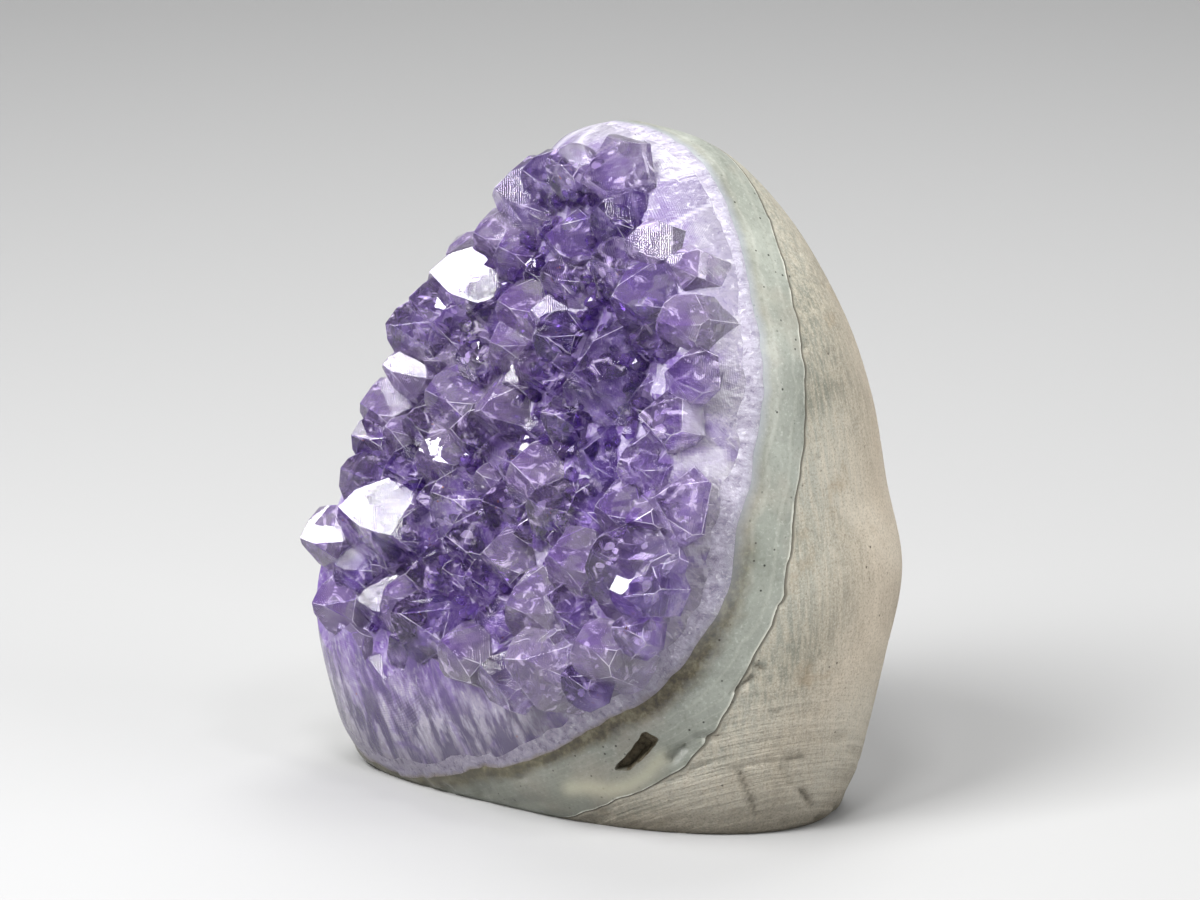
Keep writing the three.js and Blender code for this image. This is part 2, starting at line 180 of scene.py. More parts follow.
def boolean(obj: Obj, other: Obj, operation: str) -> Obj:
    """Cuts or joins one closed mesh with another.

    Args:
        obj: The mesh that is changed.
        other: The mesh that it is cut or joined with.
        operation: UNION, DIFFERENCE or INTERSECT.

    Returns:
        The changed object.
    """
    cut = obj.modifiers.new(operation.lower(), "BOOLEAN")
    cut.operation = operation
    cut.object = other
    cut.solver = "MANIFOLD"
    return baked(obj)


def chamfer(obj: Obj, width: float) -> None:
    """Takes the sharpness off every edge of a convex mesh.

    Args:
        obj: The mesh.
        width: How far the chamfer reaches into each face, in millimetres.
    """
    shape = bmesh.new()
    shape.from_mesh(obj.data)
    bmesh.ops.bevel(
        shape, geom=shape.edges[:], offset=width * MM, segments=1, affect="EDGES", clamp_overlap=True
    )
    shape.to_mesh(obj.data)
    shape.free()


def copy_of(obj: Obj, name: str) -> Obj:
    """A linked copy of an object with its own mesh."""
    twin = obj.copy()
    twin.data = obj.data.copy()
    twin.name = name
    twin.data.name = name
    bpy.context.scene.collection.objects.link(twin)
    return twin


def discard(*objects: Obj) -> None:
    """Removes helper objects and their meshes."""
    for obj in objects:
        mesh = obj.data
        bpy.data.objects.remove(obj)
        bpy.data.meshes.remove(mesh)


def smooth(obj: Obj) -> None:
    """Shades all faces of an object smooth, up to the crease angle."""
    obj.data.polygons.foreach_set("use_smooth", [True] * len(obj.data.polygons))
    obj.data.set_sharp_from_angle(angle=CREASE)


def write_values(obj: Obj, name: str, values: np.ndarray, domain: str = "POINT") -> None:
    """Stores one number for each vertex or corner under a name that a material can read."""
    layer = obj.data.attributes.new(name, "FLOAT", domain)
    layer.data.foreach_set("value", np.asarray(values, dtype=np.float32))


def noise3(points: np.ndarray, size: float, seed: int) -> np.ndarray:
    """Smooth random values from -1 to 1 at points.

    Args:
        points: Places, one row each.
        size: The distance between independent values.
        seed: Chooses the pattern.

    Returns:
        One value for each point.
    """
    grid = points / size + seed * 17.31
    base = np.floor(grid).astype(np.int64)
    part = grid - base
    ease = part * part * (3 - 2 * part)
    total = np.zeros(len(points))
    for corner in itertools.product((0, 1), repeat=3):
        cell = (base + corner) * HASH_PRIMES
        key = (cell[:, 0] ^ cell[:, 1] ^ cell[:, 2] ^ (seed * 2654435761)) & 0xFFFFFFFF
        key = (key ^ (key >> 13)) * 1274126177 & 0xFFFFFFFF
        value = ((key ^ (key >> 16)) & 0xFFFF) / 32767.5 - 1
        share = np.where(corner, ease, 1 - ease)
        total += share[:, 0] * share[:, 1] * share[:, 2] * value
    return total


def curve(a: np.ndarray, b: np.ndarray, c: np.ndarray, d: np.ndarray, t: np.ndarray) -> np.ndarray:
    """The places on a smooth curve through four knots, at shares t of the way from b to c."""
    return b + 0.5 * t * (c - a + t * (2 * a - 5 * b + 4 * c - d + t * (3 * (b - c) + d - a)))


def tube(rings: int, n: int) -> list[tuple[int, ...]]:
    """The faces between rings of n points each, one ring after the other."""
    return [
        (r * n + i, r * n + (i + 1) % n, (r + 1) * n + (i + 1) % n, (r + 1) * n + i)
        for r in range(rings - 1)
        for i in range(n)
    ]


def between(bounds: tuple[float, float], share: float) -> float:
    """The number at a share of the way between two bounds."""
    return bounds[0] + (bounds[1] - bounds[0]) * share


def linear(red: float, green: float, blue: float) -> tuple[float, float, float]:
    """A colour in linear light from its display values from 0 to 255."""
    return tuple(((c / 255 + 0.055) / 1.055) ** 2.4 if c > 10 else c / 3294.6 for c in (red, green, blue))


# The stone's form


@dataclass
class ThreeQuarterView:
    """The view that the crystals and the marks on the stone are set out from."""

    azimuth: float = 42.0
    elevation: float = 13.0
    distance: float = 900.0
    aim_height: float = 59.0

    def __post_init__(self) -> None:
        """Works out the eye and the view's directions."""
        a, e = math.radians(self.azimuth), math.radians(self.elevation)
        self.right = np.array([math.cos(a), math.sin(a), 0.0])
        self.back = np.array([math.sin(a) * math.cos(e), -math.cos(a) * math.cos(e), math.sin(e)])
        self.up = np.cross(self.back, self.right)
        self.aim = np.array([0.0, 0.0, self.aim_height])
        self.eye = self.aim + self.back * self.distance

    def place(self, points: np.ndarray) -> tuple[np.ndarray, np.ndarray]:
        """Where points appear in the view.

        Args:
            points: Places, one row each.

        Returns:
            How far across and how high each appears, in millimetres at the stone's axis.
        """
        away = points - self.aim
        nearer = self.distance / (self.distance - away @ self.back)
        return away @ self.right * nearer, self.aim_height * self.up[2] + away @ self.up * nearer

    def sight(self, across: float, rise: float) -> np.ndarray:
        """The direction of the sight line of a place in the view."""
        target = self.aim + self.right * across + self.up * (rise - self.aim_height * self.up[2])
        way = target - self.eye
        return way / np.linalg.norm(way)

    def hit(
        self, across: float, rise: float, reach: tuple[float, float], before: Callable[[np.ndarray], bool]
    ) -> np.ndarray:
        """Where the sight line of a place in the view meets a surface, found by halving.

        Args:
            across: The place's distance to the right.
            rise: Its height.
            reach: Where the search starts and ends, from the stone's axis away from the eye.
            before: Tells whether a point of the line lies before the surface.

        Returns:
            The point where the line meets the surface.
        """
        way = self.sight(across, rise)
        near, far = self.distance + reach[0], self.distance + reach[1]
        for _ in range(HALVINGS):
            middle = (near + far) / 2
            if before(self.eye + way * middle):
                near = middle
            else:
                far = middle
        return self.eye + way * near


@dataclass
class CrystalWall:
    """The surface that the crystals are rooted on, as y over x and z."""

    foot: float = -25.2
    lean: float = 0.285
    side: float = -0.1
    curl: float = 7.5
    curl_height: float = 4.0
    floor_middle: float = 4.8
    floor_slope: float = 0.46
    wave: float = 0.7
    wave_across: float = 11.0
    wave_up: float = 8.0

    def at(self, x: np.ndarray, z: np.ndarray, offset: float = 0.0, drop: float = 0.0) -> np.ndarray:
        """The y of a layer of the wall.

        Args:
            x: Places along X.
            z: Heights.
            offset: The layer's distance behind the roots.
            drop: How far the layer's foot lies below theirs.

        Returns:
            The y at each place.
        """
        above = z - (self.floor_middle + self.floor_slope * x) + drop
        wave = (
            self.wave
            * np.sin(x / self.wave_across + z / self.wave_up)
            * np.cos(x / self.wave_up - z / self.wave_across)
        )
        curl = self.curl * np.exp(-above / self.curl_height)
        return self.foot + self.lean * z + self.side * x + offset + wave - curl

    def growth(self, x: float, z: float) -> np.ndarray:
        """The direction in which crystals grow from the wall at x and z."""
        step = 0.5
        slope_x = (self.at(x + step, z) - self.at(x - step, z)) / (2 * step)
        slope_z = (self.at(x, z + step) - self.at(x, z - step)) / (2 * step)
        way = np.array([slope_x, -1.0, slope_z])
        return way / np.linalg.norm(way)


@dataclass
class StoneOutline:
    """The ground outline of the whole stone, as level sections with smooth curves between them."""

    # height, half width, half depth, middle x, middle y, squareness left, squareness right, slope
    sections: tuple[tuple[float, ...], ...] = (
        (0, 43.0, 24.0, -1.0, 3.0, 3.6, 2.1, 0.06),
        (1.2, 44.6, 25.4, -1.0, 3.0, 3.6, 2.1, 0.06),
        (3.5, 45.6, 26.4, -0.9, 2.8, 3.6, 2.1, 0.06),
        (10, 47.9, 28.2, -0.9, 2.2, 3.4, 2.2, 0.07),
        (27, 50.3, 31.2, -0.3, 1.0, 3.0, 2.3, 0.1),
        (42, 49.4, 33.0, 1.9, 1.0, 2.7, 2.4, 0.12),
        (56, 45.9, 33.0, 2.6, 1.3, 2.5, 2.4, 0.09),
        (70, 42.2, 31.5, 3.6, 2.3, 2.4, 2.4, 0.06),
        (84, 38.0, 27.5, 3.6, 3.0, 2.4, 2.4, 0.03),
        (97, 27.2, 22.0, 5.6, 5.0, 2.3, 2.3, 0),
        (107, 19.2, 15.2, 3.8, 6.2, 2.2, 2.2, 0),
        (112, 13.0, 9.5, 1.6, 6.6, 2.1, 2.1, 0),
        (114.5, 4.0, 2.5, 0.0, 7.0, 2.0, 2.0, 0),
    )
    around: int = 420
    rings: int = 270
    share_steps: int = 2000
    reach_steps: int = 4000
    angle_steps: int = 1441

    def section_at(self, share: np.ndarray) -> np.ndarray:
        """The sizes of the outline at shares of the way up its sections, one column each."""
        rows = np.array(self.sections)
        place = np.clip(np.asarray(share, dtype=float), 0, 1) * (len(rows) - 1)
        i = np.minimum(place.astype(int), len(rows) - 2)
        t = (place - i)[..., None]
        a, b = rows[np.maximum(i - 1, 0)], rows[i]
        c, d = rows[i + 1], rows[np.minimum(i + 2, len(rows) - 1)]
        return curve(a, b, c, d, t)

    def share_at(self, z: np.ndarray) -> np.ndarray:
        """The share of the way up the sections at which heights lie."""
        steps = np.linspace(0, 1, self.share_steps)
        return np.interp(z, self.section_at(steps)[:, 0], steps)

    def outwardness(self, points: np.ndarray) -> np.ndarray:
        """How far out points lie: 0 on the outline's axis, 1 on its surface."""
        points = np.atleast_2d(points)
        sizes = self.section_at(self.share_at(points[:, 2]))
        x = points[:, 0] - sizes[:, 3]
        y = points[:, 1] - sizes[:, 4] - sizes[:, 7] * x
        square = np.where(x < 0, sizes[:, 5], sizes[:, 6])
        return (np.abs(x / sizes[:, 1]) ** square + np.abs(y / sizes[:, 2]) ** square) ** (1 / square)

    def loop(self, sizes: np.ndarray) -> np.ndarray:
        """One level loop of evenly spaced points on a section of the outline."""
        z, half_width, half_depth, mid_x, mid_y, left, right, slope = sizes
        angle = np.linspace(0, 2 * np.pi, self.angle_steps)
        c, s = np.cos(angle), np.sin(angle)
        square = np.where(c < 0, left, right)
        x = np.sign(c) * np.abs(c) ** (2 / square) * half_width
        y = np.sign(s) * np.abs(s) ** (2 / square) * half_depth + slope * x
        along = np.concatenate([[0], np.cumsum(np.hypot(np.diff(x), np.diff(y)))])
        even = np.linspace(0, along[-1], self.around, endpoint=False)
        loop = np.empty((self.around, 3))
        loop[:, 0] = mid_x + np.interp(even, along, x)
        loop[:, 1] = mid_y + np.interp(even, along, y)
        loop[:, 2] = z
        return loop

    def build(self, name: str) -> Obj:
        """The whole stone as one closed fine mesh.

        Args:
            name: The object's name.

        Returns:
            The stone.
        """
        coarse = np.linspace(0, 1, self.reach_steps)
        sizes = self.section_at(coarse)
        reach = np.concatenate([[0], np.cumsum(np.hypot(np.diff(sizes[:, 0]), np.diff(sizes[:, 1])))])
        shares = np.interp(np.linspace(0, reach[-1], self.rings), reach, coarse)
        loops = [self.loop(self.section_at(s)) for s in shares]
        n = self.around
        faces = tube(self.rings, n)
        points = np.vstack([*loops, loops[0].mean(axis=0), loops[-1].mean(axis=0)])
        foot, top = len(points) - 2, len(points) - 1
        last = (self.rings - 1) * n
        faces += [(foot, (i + 1) % n, i) for i in range(n)]
        faces += [(top, last + i, last + (i + 1) % n) for i in range(n)]
        return mesh_object(name, points, faces)


@dataclass(frozen=True)
class WallLayer:
    """One uneven layer of the wall: how far behind the roots it lies, and how it waves."""

    offset: float = 0.0
    drop: float = 0.0
    ripple: float = 0.0
    seed: int = 0

    def moved(self, by: float) -> "WallLayer":
        """The same layer a little further back, or forward when negative."""
        return WallLayer(self.offset + by, self.drop + by * (self.drop > 0), self.ripple, self.seed)

    def at(self, wall: CrystalWall, x: np.ndarray, z: np.ndarray) -> np.ndarray:
        """The layer's y at x and z."""
        flat = np.column_stack([x, np.zeros_like(x), z])
        uneven = 0.55 * noise3(flat, 6.0, self.seed) + 0.45 * noise3(flat, 2.4, self.seed + 1)
        return wall.at(x, z, self.offset, self.drop) + self.ripple * uneven


@dataclass
class WallSheet:
    """The sheet of the crystal wall as a closed block in front of it, used to part the layers."""

    wall: CrystalWall
    half_width: float = 60.0
    low: float = -14.0
    high: float = 126.0
    near: float = -75.0
    step: float = 1.25

    def grid(self) -> tuple[np.ndarray, np.ndarray, int, int]:
        """The x and z of the sheet's points, and its steps across and up."""
        nx = round(2 * self.half_width / self.step)
        nz = round((self.high - self.low) / self.step)
        across = np.linspace(-self.half_width, self.half_width, nx + 1)
        x, z = np.meshgrid(across, np.linspace(self.low, self.high, nz + 1))
        return x.ravel(), z.ravel(), nx, nz

    def build(self, name: str, layer: WallLayer) -> Obj:
        """Everything in front of a layer of the wall, as one closed mesh.

        Args:
            name: The object's name.
            layer: The layer.

        Returns:
            The block.
        """
        x, z, nx, nz = self.grid()
        wall = np.maximum(layer.at(self.wall, x, z), self.near + 1)
        points = np.vstack(
            [np.column_stack([x, wall, z]), np.column_stack([x, np.full_like(x, self.near), z])]
        )
        count = (nx + 1) * (nz + 1)

        def at(i: int, j: int, front: int) -> int:
            """The number of a vertex."""
            return front * count + j * (nx + 1) + i

        faces = []
        for j in range(nz):
            for i in range(nx):
                faces.append((at(i, j, 0), at(i, j + 1, 0), at(i + 1, j + 1, 0), at(i + 1, j, 0)))
                faces.append((at(i, j, 1), at(i + 1, j, 1), at(i + 1, j + 1, 1), at(i, j + 1, 1)))
        for i in range(nx):
            faces.append((at(i, 0, 0), at(i + 1, 0, 0), at(i + 1, 0, 1), at(i, 0, 1)))
            faces.append((at(i, nz, 0), at(i, nz, 1), at(i + 1, nz, 1), at(i + 1, nz, 0)))
        for j in range(nz):
            faces.append((at(0, j, 0), at(0, j, 1), at(0, j + 1, 1), at(0, j + 1, 0)))
            faces.append((at(nx, j, 0), at(nx, j + 1, 0), at(nx, j + 1, 1), at(nx, j, 1)))
        return mesh_object(name, points, faces)

    def open_sheet(self, name: str, offset: float, keep: Callable[[np.ndarray], np.ndarray]) -> Obj:
        """The sheet itself, facing the crystals' side, where a rule keeps it.

        Args:
            name: The object's name.
            offset: Its distance behind the crystals' roots.
            keep: Tells for rows of points which of them to keep.

        Returns:
            The sheet.
        """
        x, z, nx, nz = self.grid()
        points = np.column_stack([x, self.wall.at(x, z, offset), z])
        kept = keep(points)
        corners = [j * (nx + 1) + i for j in range(nz) for i in range(nx)]
        faces = [(c, c + 1, c + nx + 2, c + nx + 1) for c in corners]
        faces = [face for face in faces if all(kept[list(face)])]
        return mesh_object(name, points, faces)


@dataclass
class GroundMarks:
    """What grinding, sawing and weather left on the stone's ground surface."""

    view: ThreeQuarterView
    wall: CrystalWall
    # from across, rise to across, rise in the view, half width, depth
    grooves: tuple[tuple[float, ...], ...] = (
        (23.2, 2.9, 26.0, -4.4, 0.5, 0.55), (24.4, 2.4, 26.9, -3.6, 0.55, 0.35),
        (29.9, 4.1, 31.9, -0.4, 0.5, 0.45), (33.6, -0.4, 35.4, -2.8, 0.6, 0.9),
        (31.3, 4.7, 34.0, 5.3, 0.55, 0.7), (22.0, 3.2, 30.8, 4.6, 0.5, 0.3),
        (39.2, 2.4, 43.6, 1.7, 0.5, 0.35), (38.8, 1.4, 43.4, 0.7, 0.5, 0.35),
        (38.6, 0.4, 43.0, -0.3, 0.5, 0.35), (29.1, 12.9, 30.0, 12.3, 0.5, 0.4),
        (15.5, 8.6, 19.6, 8.6, 0.5, 0.6), (19.6, 8.6, 22.1, 11.9, 0.5, 0.5),
        (21.8, 16.0, 25.6, 18.9, 0.55, 0.8), (25.8, 20.8, 27.4, 20.0, 0.55, 0.7),
        (11.1, 4.4, 14.2, 7.2, 0.8, 1.2), (11.8, 1.4, 18.4, 4.2, 0.5, 0.45),
    )
    # corners as across and rise
    cream_line: tuple[tuple[float, float], ...] = (
        (9.8, 5.0), (7.4, 2.2), (4.4, 0.4), (1.2, -0.4), (-2.6, 0.2), (-5.4, 0.0),
    )
    slit_line: tuple[tuple[float, float], ...] = ((7.8, 8.6), (4.6, 4.4), (1.0, 1.9))
    # across, rise, half width, depth
    pits: tuple[tuple[float, ...], ...] = (
        (40.4, 8.2, 1.0, 0.8), (42.6, 6.2, 0.6, 0.5), (37.4, 22.0, 0.5, 0.3), (43.2, 30.5, 0.5, 0.3),
        (37.0, 56.0, 0.5, 0.3), (34.6, 75.0, 0.5, 0.3), (30.2, 31.0, 0.5, 0.35), (9.2, 12.2, 0.5, 0.4),
        (12.6, 14.0, 0.4, 0.4), (16.4, 16.8, 0.5, 0.5), (-14.0, 1.5, 0.8, 0.5), (-20.5, 3.6, 0.6, 0.4),
    )

    @staticmethod
    def gap(
        across: np.ndarray, rise: np.ndarray, start: tuple[float, float], end: tuple[float, float]
    ) -> tuple[np.ndarray, np.ndarray]:
        """How far places in the view lie from a straight line, and the share of its length beside them."""
        way = np.subtract(end, start)
        t = np.clip(((across - start[0]) * way[0] + (rise - start[1]) * way[1]) / (way @ way), 0, 1)
        return np.hypot(across - start[0] - t * way[0], rise - start[1] - t * way[1]), t

    def near_line(
        self, points: np.ndarray, line: Sequence[tuple[float, float]], width: float
    ) -> np.ndarray:
        """How near points lie to a line in the view: 1 on it, fading out over a width.

        Args:
            points: Places, one row each.
            line: Across and rise of the line's corners.
            width: Over which the nearness fades.

        Returns:
            The nearness of each point on the side seen from the view.
        """
        across, rise = self.view.place(points)
        nearest = np.full(len(points), 1e9)
        for start, end in zip(line, line[1:]):
            nearest = np.minimum(nearest, self.gap(across, rise, start, end)[0])
        front = (points @ self.view.back) > -8
        return np.exp(-((nearest / width) ** 2)) * front

    def depth(self, points: np.ndarray, facing: np.ndarray) -> np.ndarray:
        """How deep the marks cut at points of the ground surface.

        Args:
            points: Places on the surface, one row each.
            facing: The surface's outward normals.

        Returns:
            The depth at each point.
        """
        across, rise = self.view.place(points)
        seen = np.clip(facing @ self.view.back * 3, 0, 1)
        cut = np.zeros(len(points))
        wander = 0.35 * noise3(points, 2.2, 31)
        for a0, r0, a1, r1, width, deep in self.grooves:
            gap, t = self.gap(across, rise, (a0, r0), (a1, r1))
            fading = np.minimum(1, 8 * np.minimum(t, 1 - t) + 0.35)
            cut += deep * np.exp(-(((gap + wander) / width) ** 2)) * fading
        for a0, r0, width, deep in self.pits:
            gap = np.hypot(across - a0, 1.4 * (rise - r0)) + wander
            cut += deep * np.exp(-((gap / width) ** 2))
        cut *= seen
        behind = points[:, 1] - self.wall.at(points[:, 0], points[:, 2], 8.5, 12.5)
        rock = np.clip(behind / 1.5, 0, 1)
        cut += rock * 0.5 * np.clip(noise3(points, 1.9, 5) - 0.55, 0, 1)
        chipped = np.clip(1 - points[:, 2] / 4.5, 0, 1)
        cut += chipped * 1.3 * np.clip(noise3(points, 2.6, 9) - 0.05, 0, 1)
        cut += rock * 0.16 * (0.5 + 0.5 * noise3(points, 14.0, 6))
        facets = np.abs(noise3(points * [1, 1, 0.35], 24.0, 7))
        return cut + 0.35 * facets


@dataclass
class PocketSlit:
    """The weathered slit in the agate at the foot."""

    view: ThreeQuarterView
    outline: StoneOutline
    deep: float = 3.6
    steps: int = 6
    # the slit's edge as across and rise in the view, anticlockwise
    edge: tuple[tuple[float, float], ...] = (
        (0.3, 1.4), (2.6, 1.7), (4.9, 2.4), (6.3, 4.3), (8.2, 6.5), (9.2, 8.1), (7.8, 9.2), (6.6, 9.4),
        (5.8, 7.9), (4.4, 6.2), (2.9, 4.7), (1.3, 3.3),
    )

    def rim(self) -> np.ndarray:
        """The slit's edge as a ragged closed line of across and rise, one row each."""
        knots = np.array(self.edge)
        n = len(knots)
        line = []
        for i in range(n):
            a, b, c, d = (knots[(i + k) % n] for k in (-1, 0, 1, 2))
            for t in np.arange(self.steps) / self.steps:
                line.append(curve(a, b, c, d, t))
        line = np.array(line)
        spots = np.column_stack([line, np.zeros(len(line))])
        return line + 0.16 * np.column_stack([noise3(spots, 0.7, 81), noise3(spots, 0.7, 82)])

    def mouth(self) -> np.ndarray:
        """Where the slit's middle meets the ground surface."""
        across, rise = np.mean(self.edge, axis=0)
        return self.view.hit(across, rise, (-70, 0), lambda p: self.outline.outwardness(p)[0] > 1)

    def build(self, name: str) -> Obj:
        """The slit's hollow as a closed mesh."""
        line = self.rim()
        centre = line.mean(axis=0)
        mouth = self.mouth()
        rings = []
        narrowing = (-6, 1.1), (0, 1.0), (0.5, 0.95), (0.7, 0.86), (0.6 * self.deep, 0.7), (self.deep, 0.45)
        for depth, grow in narrowing:
            away = (line - centre) * grow
            middle = mouth - self.view.back * depth
            beside = middle + np.outer(away[:, 0], self.view.right)
            rings.append(beside + np.outer(away[:, 1], self.view.up))
        n = len(line)
        faces = [tuple(reversed(f)) for f in tube(len(rings), n)]
        faces.append(tuple(range(n)))
        faces.append(tuple(reversed(range((len(rings) - 1) * n, len(rings) * n))))
        return mesh_object(name, np.vstack(rings), faces)


@dataclass
class Crystal:
    """One quartz crystal, a six-sided prism under a six-faced point."""

    tip: np.ndarray
    axis: np.ndarray
    width: float
    turn: float
    stand: float
    tone: float = 0.5
    clarity: Clarity = Clarity.CLEAR
    normals: np.ndarray = field(default=None, repr=False)
    reaches: np.ndarray = field(default=None, repr=False)

    def frame(self) -> np.ndarray:
        """The shortest turn from straight up to the crystal's long axis, as a matrix."""
        a = Vector((0, 0, 1)).rotation_difference(Vector(self.axis)).to_matrix()
        return np.array(a)

    def cut_faces(self, random: Random, length: float, point: float, side: float, angle: float) -> None:
        """Sets out the crystal's face planes about its tip.

        Args:
            random: The source of random numbers.
            length: From the tip to the foot.
            point: Unevenness of the point faces, as a share of the radius.
            side: Unevenness of the prism faces, as a share of the radius.
            angle: Between the long axis and each point face's normal, in degrees.
        """
        radius = self.width / 2
        tilt = math.radians(angle)
        normals, reaches = [(0.0, 0.0, -1.0)], [length]
        for face in range(6):
            around = math.radians(self.turn + 60 * face)
            c, s = math.cos(around), math.sin(around)
            minor = point * radius * (0.6 + random()) if face % 2 else 0.0
            flat = radius * (1 + side * (2 * random() - 1))
            normals += [(c * math.sin(tilt), s * math.sin(tilt), math.cos(tilt)), (c, s, 0.0)]
            reaches += [minor, flat]
        self.normals = np.array(normals) @ self.frame().T
        self.reaches = np.array(reaches) + self.normals @ self.tip

    def solid(self) -> tuple[np.ndarray, list[list[int]]]:
        """The crystal's corners and its flat faces."""
        triples = np.array(list(itertools.combinations(range(len(self.normals)), 3)))
        planes = self.normals[triples]
        good = np.abs(np.linalg.det(planes)) > 1e-6
        triples, planes = triples[good], planes[good]
        meets = np.linalg.solve(planes, self.reaches[triples][..., None])[..., 0]
        inside = (meets @ self.normals.T <= self.reaches + 1e-6).all(axis=1)
        corners: list[np.ndarray] = []
        for meet in meets[inside]:
            if all(np.linalg.norm(meet - c) > 1e-3 for c in corners):
                corners.append(meet)
        points = np.array(corners)
        faces = []
        for normal, reach in zip(self.normals, self.reaches):
            on = np.flatnonzero(np.abs(points @ normal - reach) < 2e-3)
            if len(on) < 3:
                continue
            middle = points[on].mean(axis=0)
            u = points[on[0]] - middle
            v = np.cross(normal, u)
            rel = points[on] - middle
            order = np.argsort(np.arctan2(rel @ v, rel @ u))
            faces.append([int(k) for k in on[order]])
        return points, faces


@dataclass(frozen=True)
class Sowing:
    """How crystals are strewn over the wall: the seed, the tries, where, their sizes and their room."""

    seed: int
    tries: int
    heights: tuple[float, float]
    widths: tuple[float, float]
    smallness: float
    stands: tuple[float, float]
    tilt: float
    spacing: float
    inside: float


@dataclass
class CrystalGarden:
    """All the crystals of the open face: those listed one by one and the fill between them."""

    view: ThreeQuarterView
    wall: CrystalWall
    outline: StoneOutline
    point_angle: float = 51.8
    root_cover: float = 3.0
    point_shift: float = 0.16
    side_shift: float = 0.1
    edge_wear: float = 0.07
    free_low: float = 27.0
    free_top: float = 112.0
    free_inside: float = 0.88
    span: tuple[float, float] = (-50.0, 50.0)
    fill: Sowing = Sowing(7, 1500, (2.0, 112.0), (9.0, 14.0), 1.5, (15.0, 20.0), 0.16, 0.295, 0.94)
    young: Sowing = Sowing(23, 2600, (0.0, 118.0), (7.0, 11.0), 2, (14.0, 17.0), 0.26, 0.34, 1.0)
    face_seed: int = 8
    tone_seed: int = 99
    far_side: tuple[tuple[float, float], ...] = (
        (0, -47), (42, -51), (60, -41), (78, -37), (88, -32), (101, -20), (112, -7),
    )
    # across and rise of the tip, width, turn, lean to the right, lean upwards, stand from the roots
    main: tuple[tuple[float, ...], ...] = (
        (-18.5, 102, 13.5, 10, -0.25, 0.1, 19), (-9.5, 107.2, 9, 40, 0, 0.2, 18),
        (5.5, 103.4, 13.5, 20, 0.1, 0.15, 16), (-9.8, 94, 10.5, 0, -0.1, 0.1, 18),
        (-2.4, 94.6, 13.5, 35, 0.1, 0, 14), (3.3, 94.6, 8.5, 15, 0.2, 0, 14),
        (10.6, 96.3, 14.5, 50, 0.15, 0, 18), (11.2, 87.3, 14.5, 25, 0.1, 0, 18),
        (0.1, 84.4, 11, 5, 0, 0, 13), (-17.9, 83, 11.5, 30, -0.1, 0.1, 19),
        (-29.5, 87.8, 15, 12, -0.2, 0.15, 21), (-37, 79, 11, 45, -0.35, 0.1, 21),
        (-24.8, 74.2, 7.5, 20, -0.1, 0.1, 19), (-5.2, 70.8, 23, 28, 0, 0.05, 21),
        (-10.6, 64, 8.5, 55, -0.1, 0.2, 18), (-20.3, 58.4, 8.5, 10, -0.1, 0.1, 17),
        (-30.2, 67.7, 13.5, 35, -0.15, 0.2, 20), (-25.9, 61.2, 11, 5, -0.1, 0, 18),
        (-41.3, 65.5, 11, 25, -0.3, 0.1, 20), (-44.6, 54.5, 12, 40, -0.3, 0.2, 21),
        (-45, 47.8, 17.5, 15, -0.3, 0.1, 23), (-51.5, 42.5, 10, 30, -0.4, -0.1, 20),
        (-29.3, 50.4, 13.5, 50, -0.1, 0.1, 20), (-15.7, 55.5, 14.5, 22, 0, 0.2, 19),
        (-3.3, 57.5, 12, 8, 0.1, 0, 17), (-12.8, 49.3, 11, 33, 0, 0.1, 19),
        (-5.5, 48.2, 10.5, 48, 0.1, 0, 17), (-26.8, 43, 14.5, 18, -0.1, -0.1, 20),
        (-9.4, 39.7, 10.5, 27, 0, 0.1, 20), (-2.1, 40.8, 14.5, 42, 0.05, 0.2, 22),
        (9.8, 37.1, 14, 12, 0.1, 0, 20), (-16.6, 31.2, 14.5, 36, -0.05, 0, 19),
        (-36.1, 30, 12, 52, -0.2, 0.2, 21), (-27.6, 25.2, 11, 24, -0.1, 0.2, 19),
        (-49, 23.5, 11, 3, -0.2, 0.1, 20), (-35.3, 21, 10, 31, -0.1, 0.1, 18),
        (-20.8, 21, 11, 14, -0.05, 0.1, 18), (-4.7, 25.2, 10, 46, 0.05, 0.1, 19),
        (8.9, 63.5, 14.5, 29, -0.15, 0.1, 21), (7.2, 48, 13.5, 0, -0.15, 0.1, 22),
        (14.9, 61, 11, 38, 0.1, 0, 19), (16.6, 49, 18.5, 20, 0.1, 0, 19), (14, 77, 17, 44, 0.1, 0, 19),
        (-33.6, 36.3, 10, 9, -0.2, 0, 18), (-23.4, 36.3, 11, 26, -0.1, 0, 18),
        (-12.3, 81.3, 12, 17, 0, 0.1, 17), (6.4, 78, 11, 51, 0.1, 0, 13),
        (-10.6, 88, 12, 34, -0.05, 0.1, 18), (-4.5, 111, 11, 6, 0, 0.3, 16),
        (4.7, 108.5, 11, 41, 0.1, 0.3, 15), (14.9, 103.4, 14.5, 23, 0.1, 0.2, 16),
        (20, 95, 12, 37, 0.1, 0.1, 16), (-41.8, 32, 10, 19, -0.3, 0, 19),
        (-49.5, 31.5, 10, 47, -0.4, 0, 19), (6.4, 28.6, 11, 11, 0.1, 0, 18),
        (14.9, 30, 10, 32, 0.1, 0, 17), (-13.8, 105.2, 10, 25, -0.15, 0.2, 18),
        (-22, 94.5, 10, 33, -0.2, 0.1, 18), (-33, 83.5, 9, 8, -0.3, 0.1, 20),
        (-42.8, 60, 9.5, 48, -0.35, 0.1, 20), (-37.5, 72, 10, 15, -0.3, 0.1, 20),
    )
    cloudy_share: float = 0.36
    crystals: list[Crystal] = field(default_factory=list)
    free: list[bool] = field(default_factory=list)

    def seen_on_wall(self, across: float, rise: float, stand: float) -> np.ndarray:
        """Where a sight line meets the wall, brought forward by stand."""

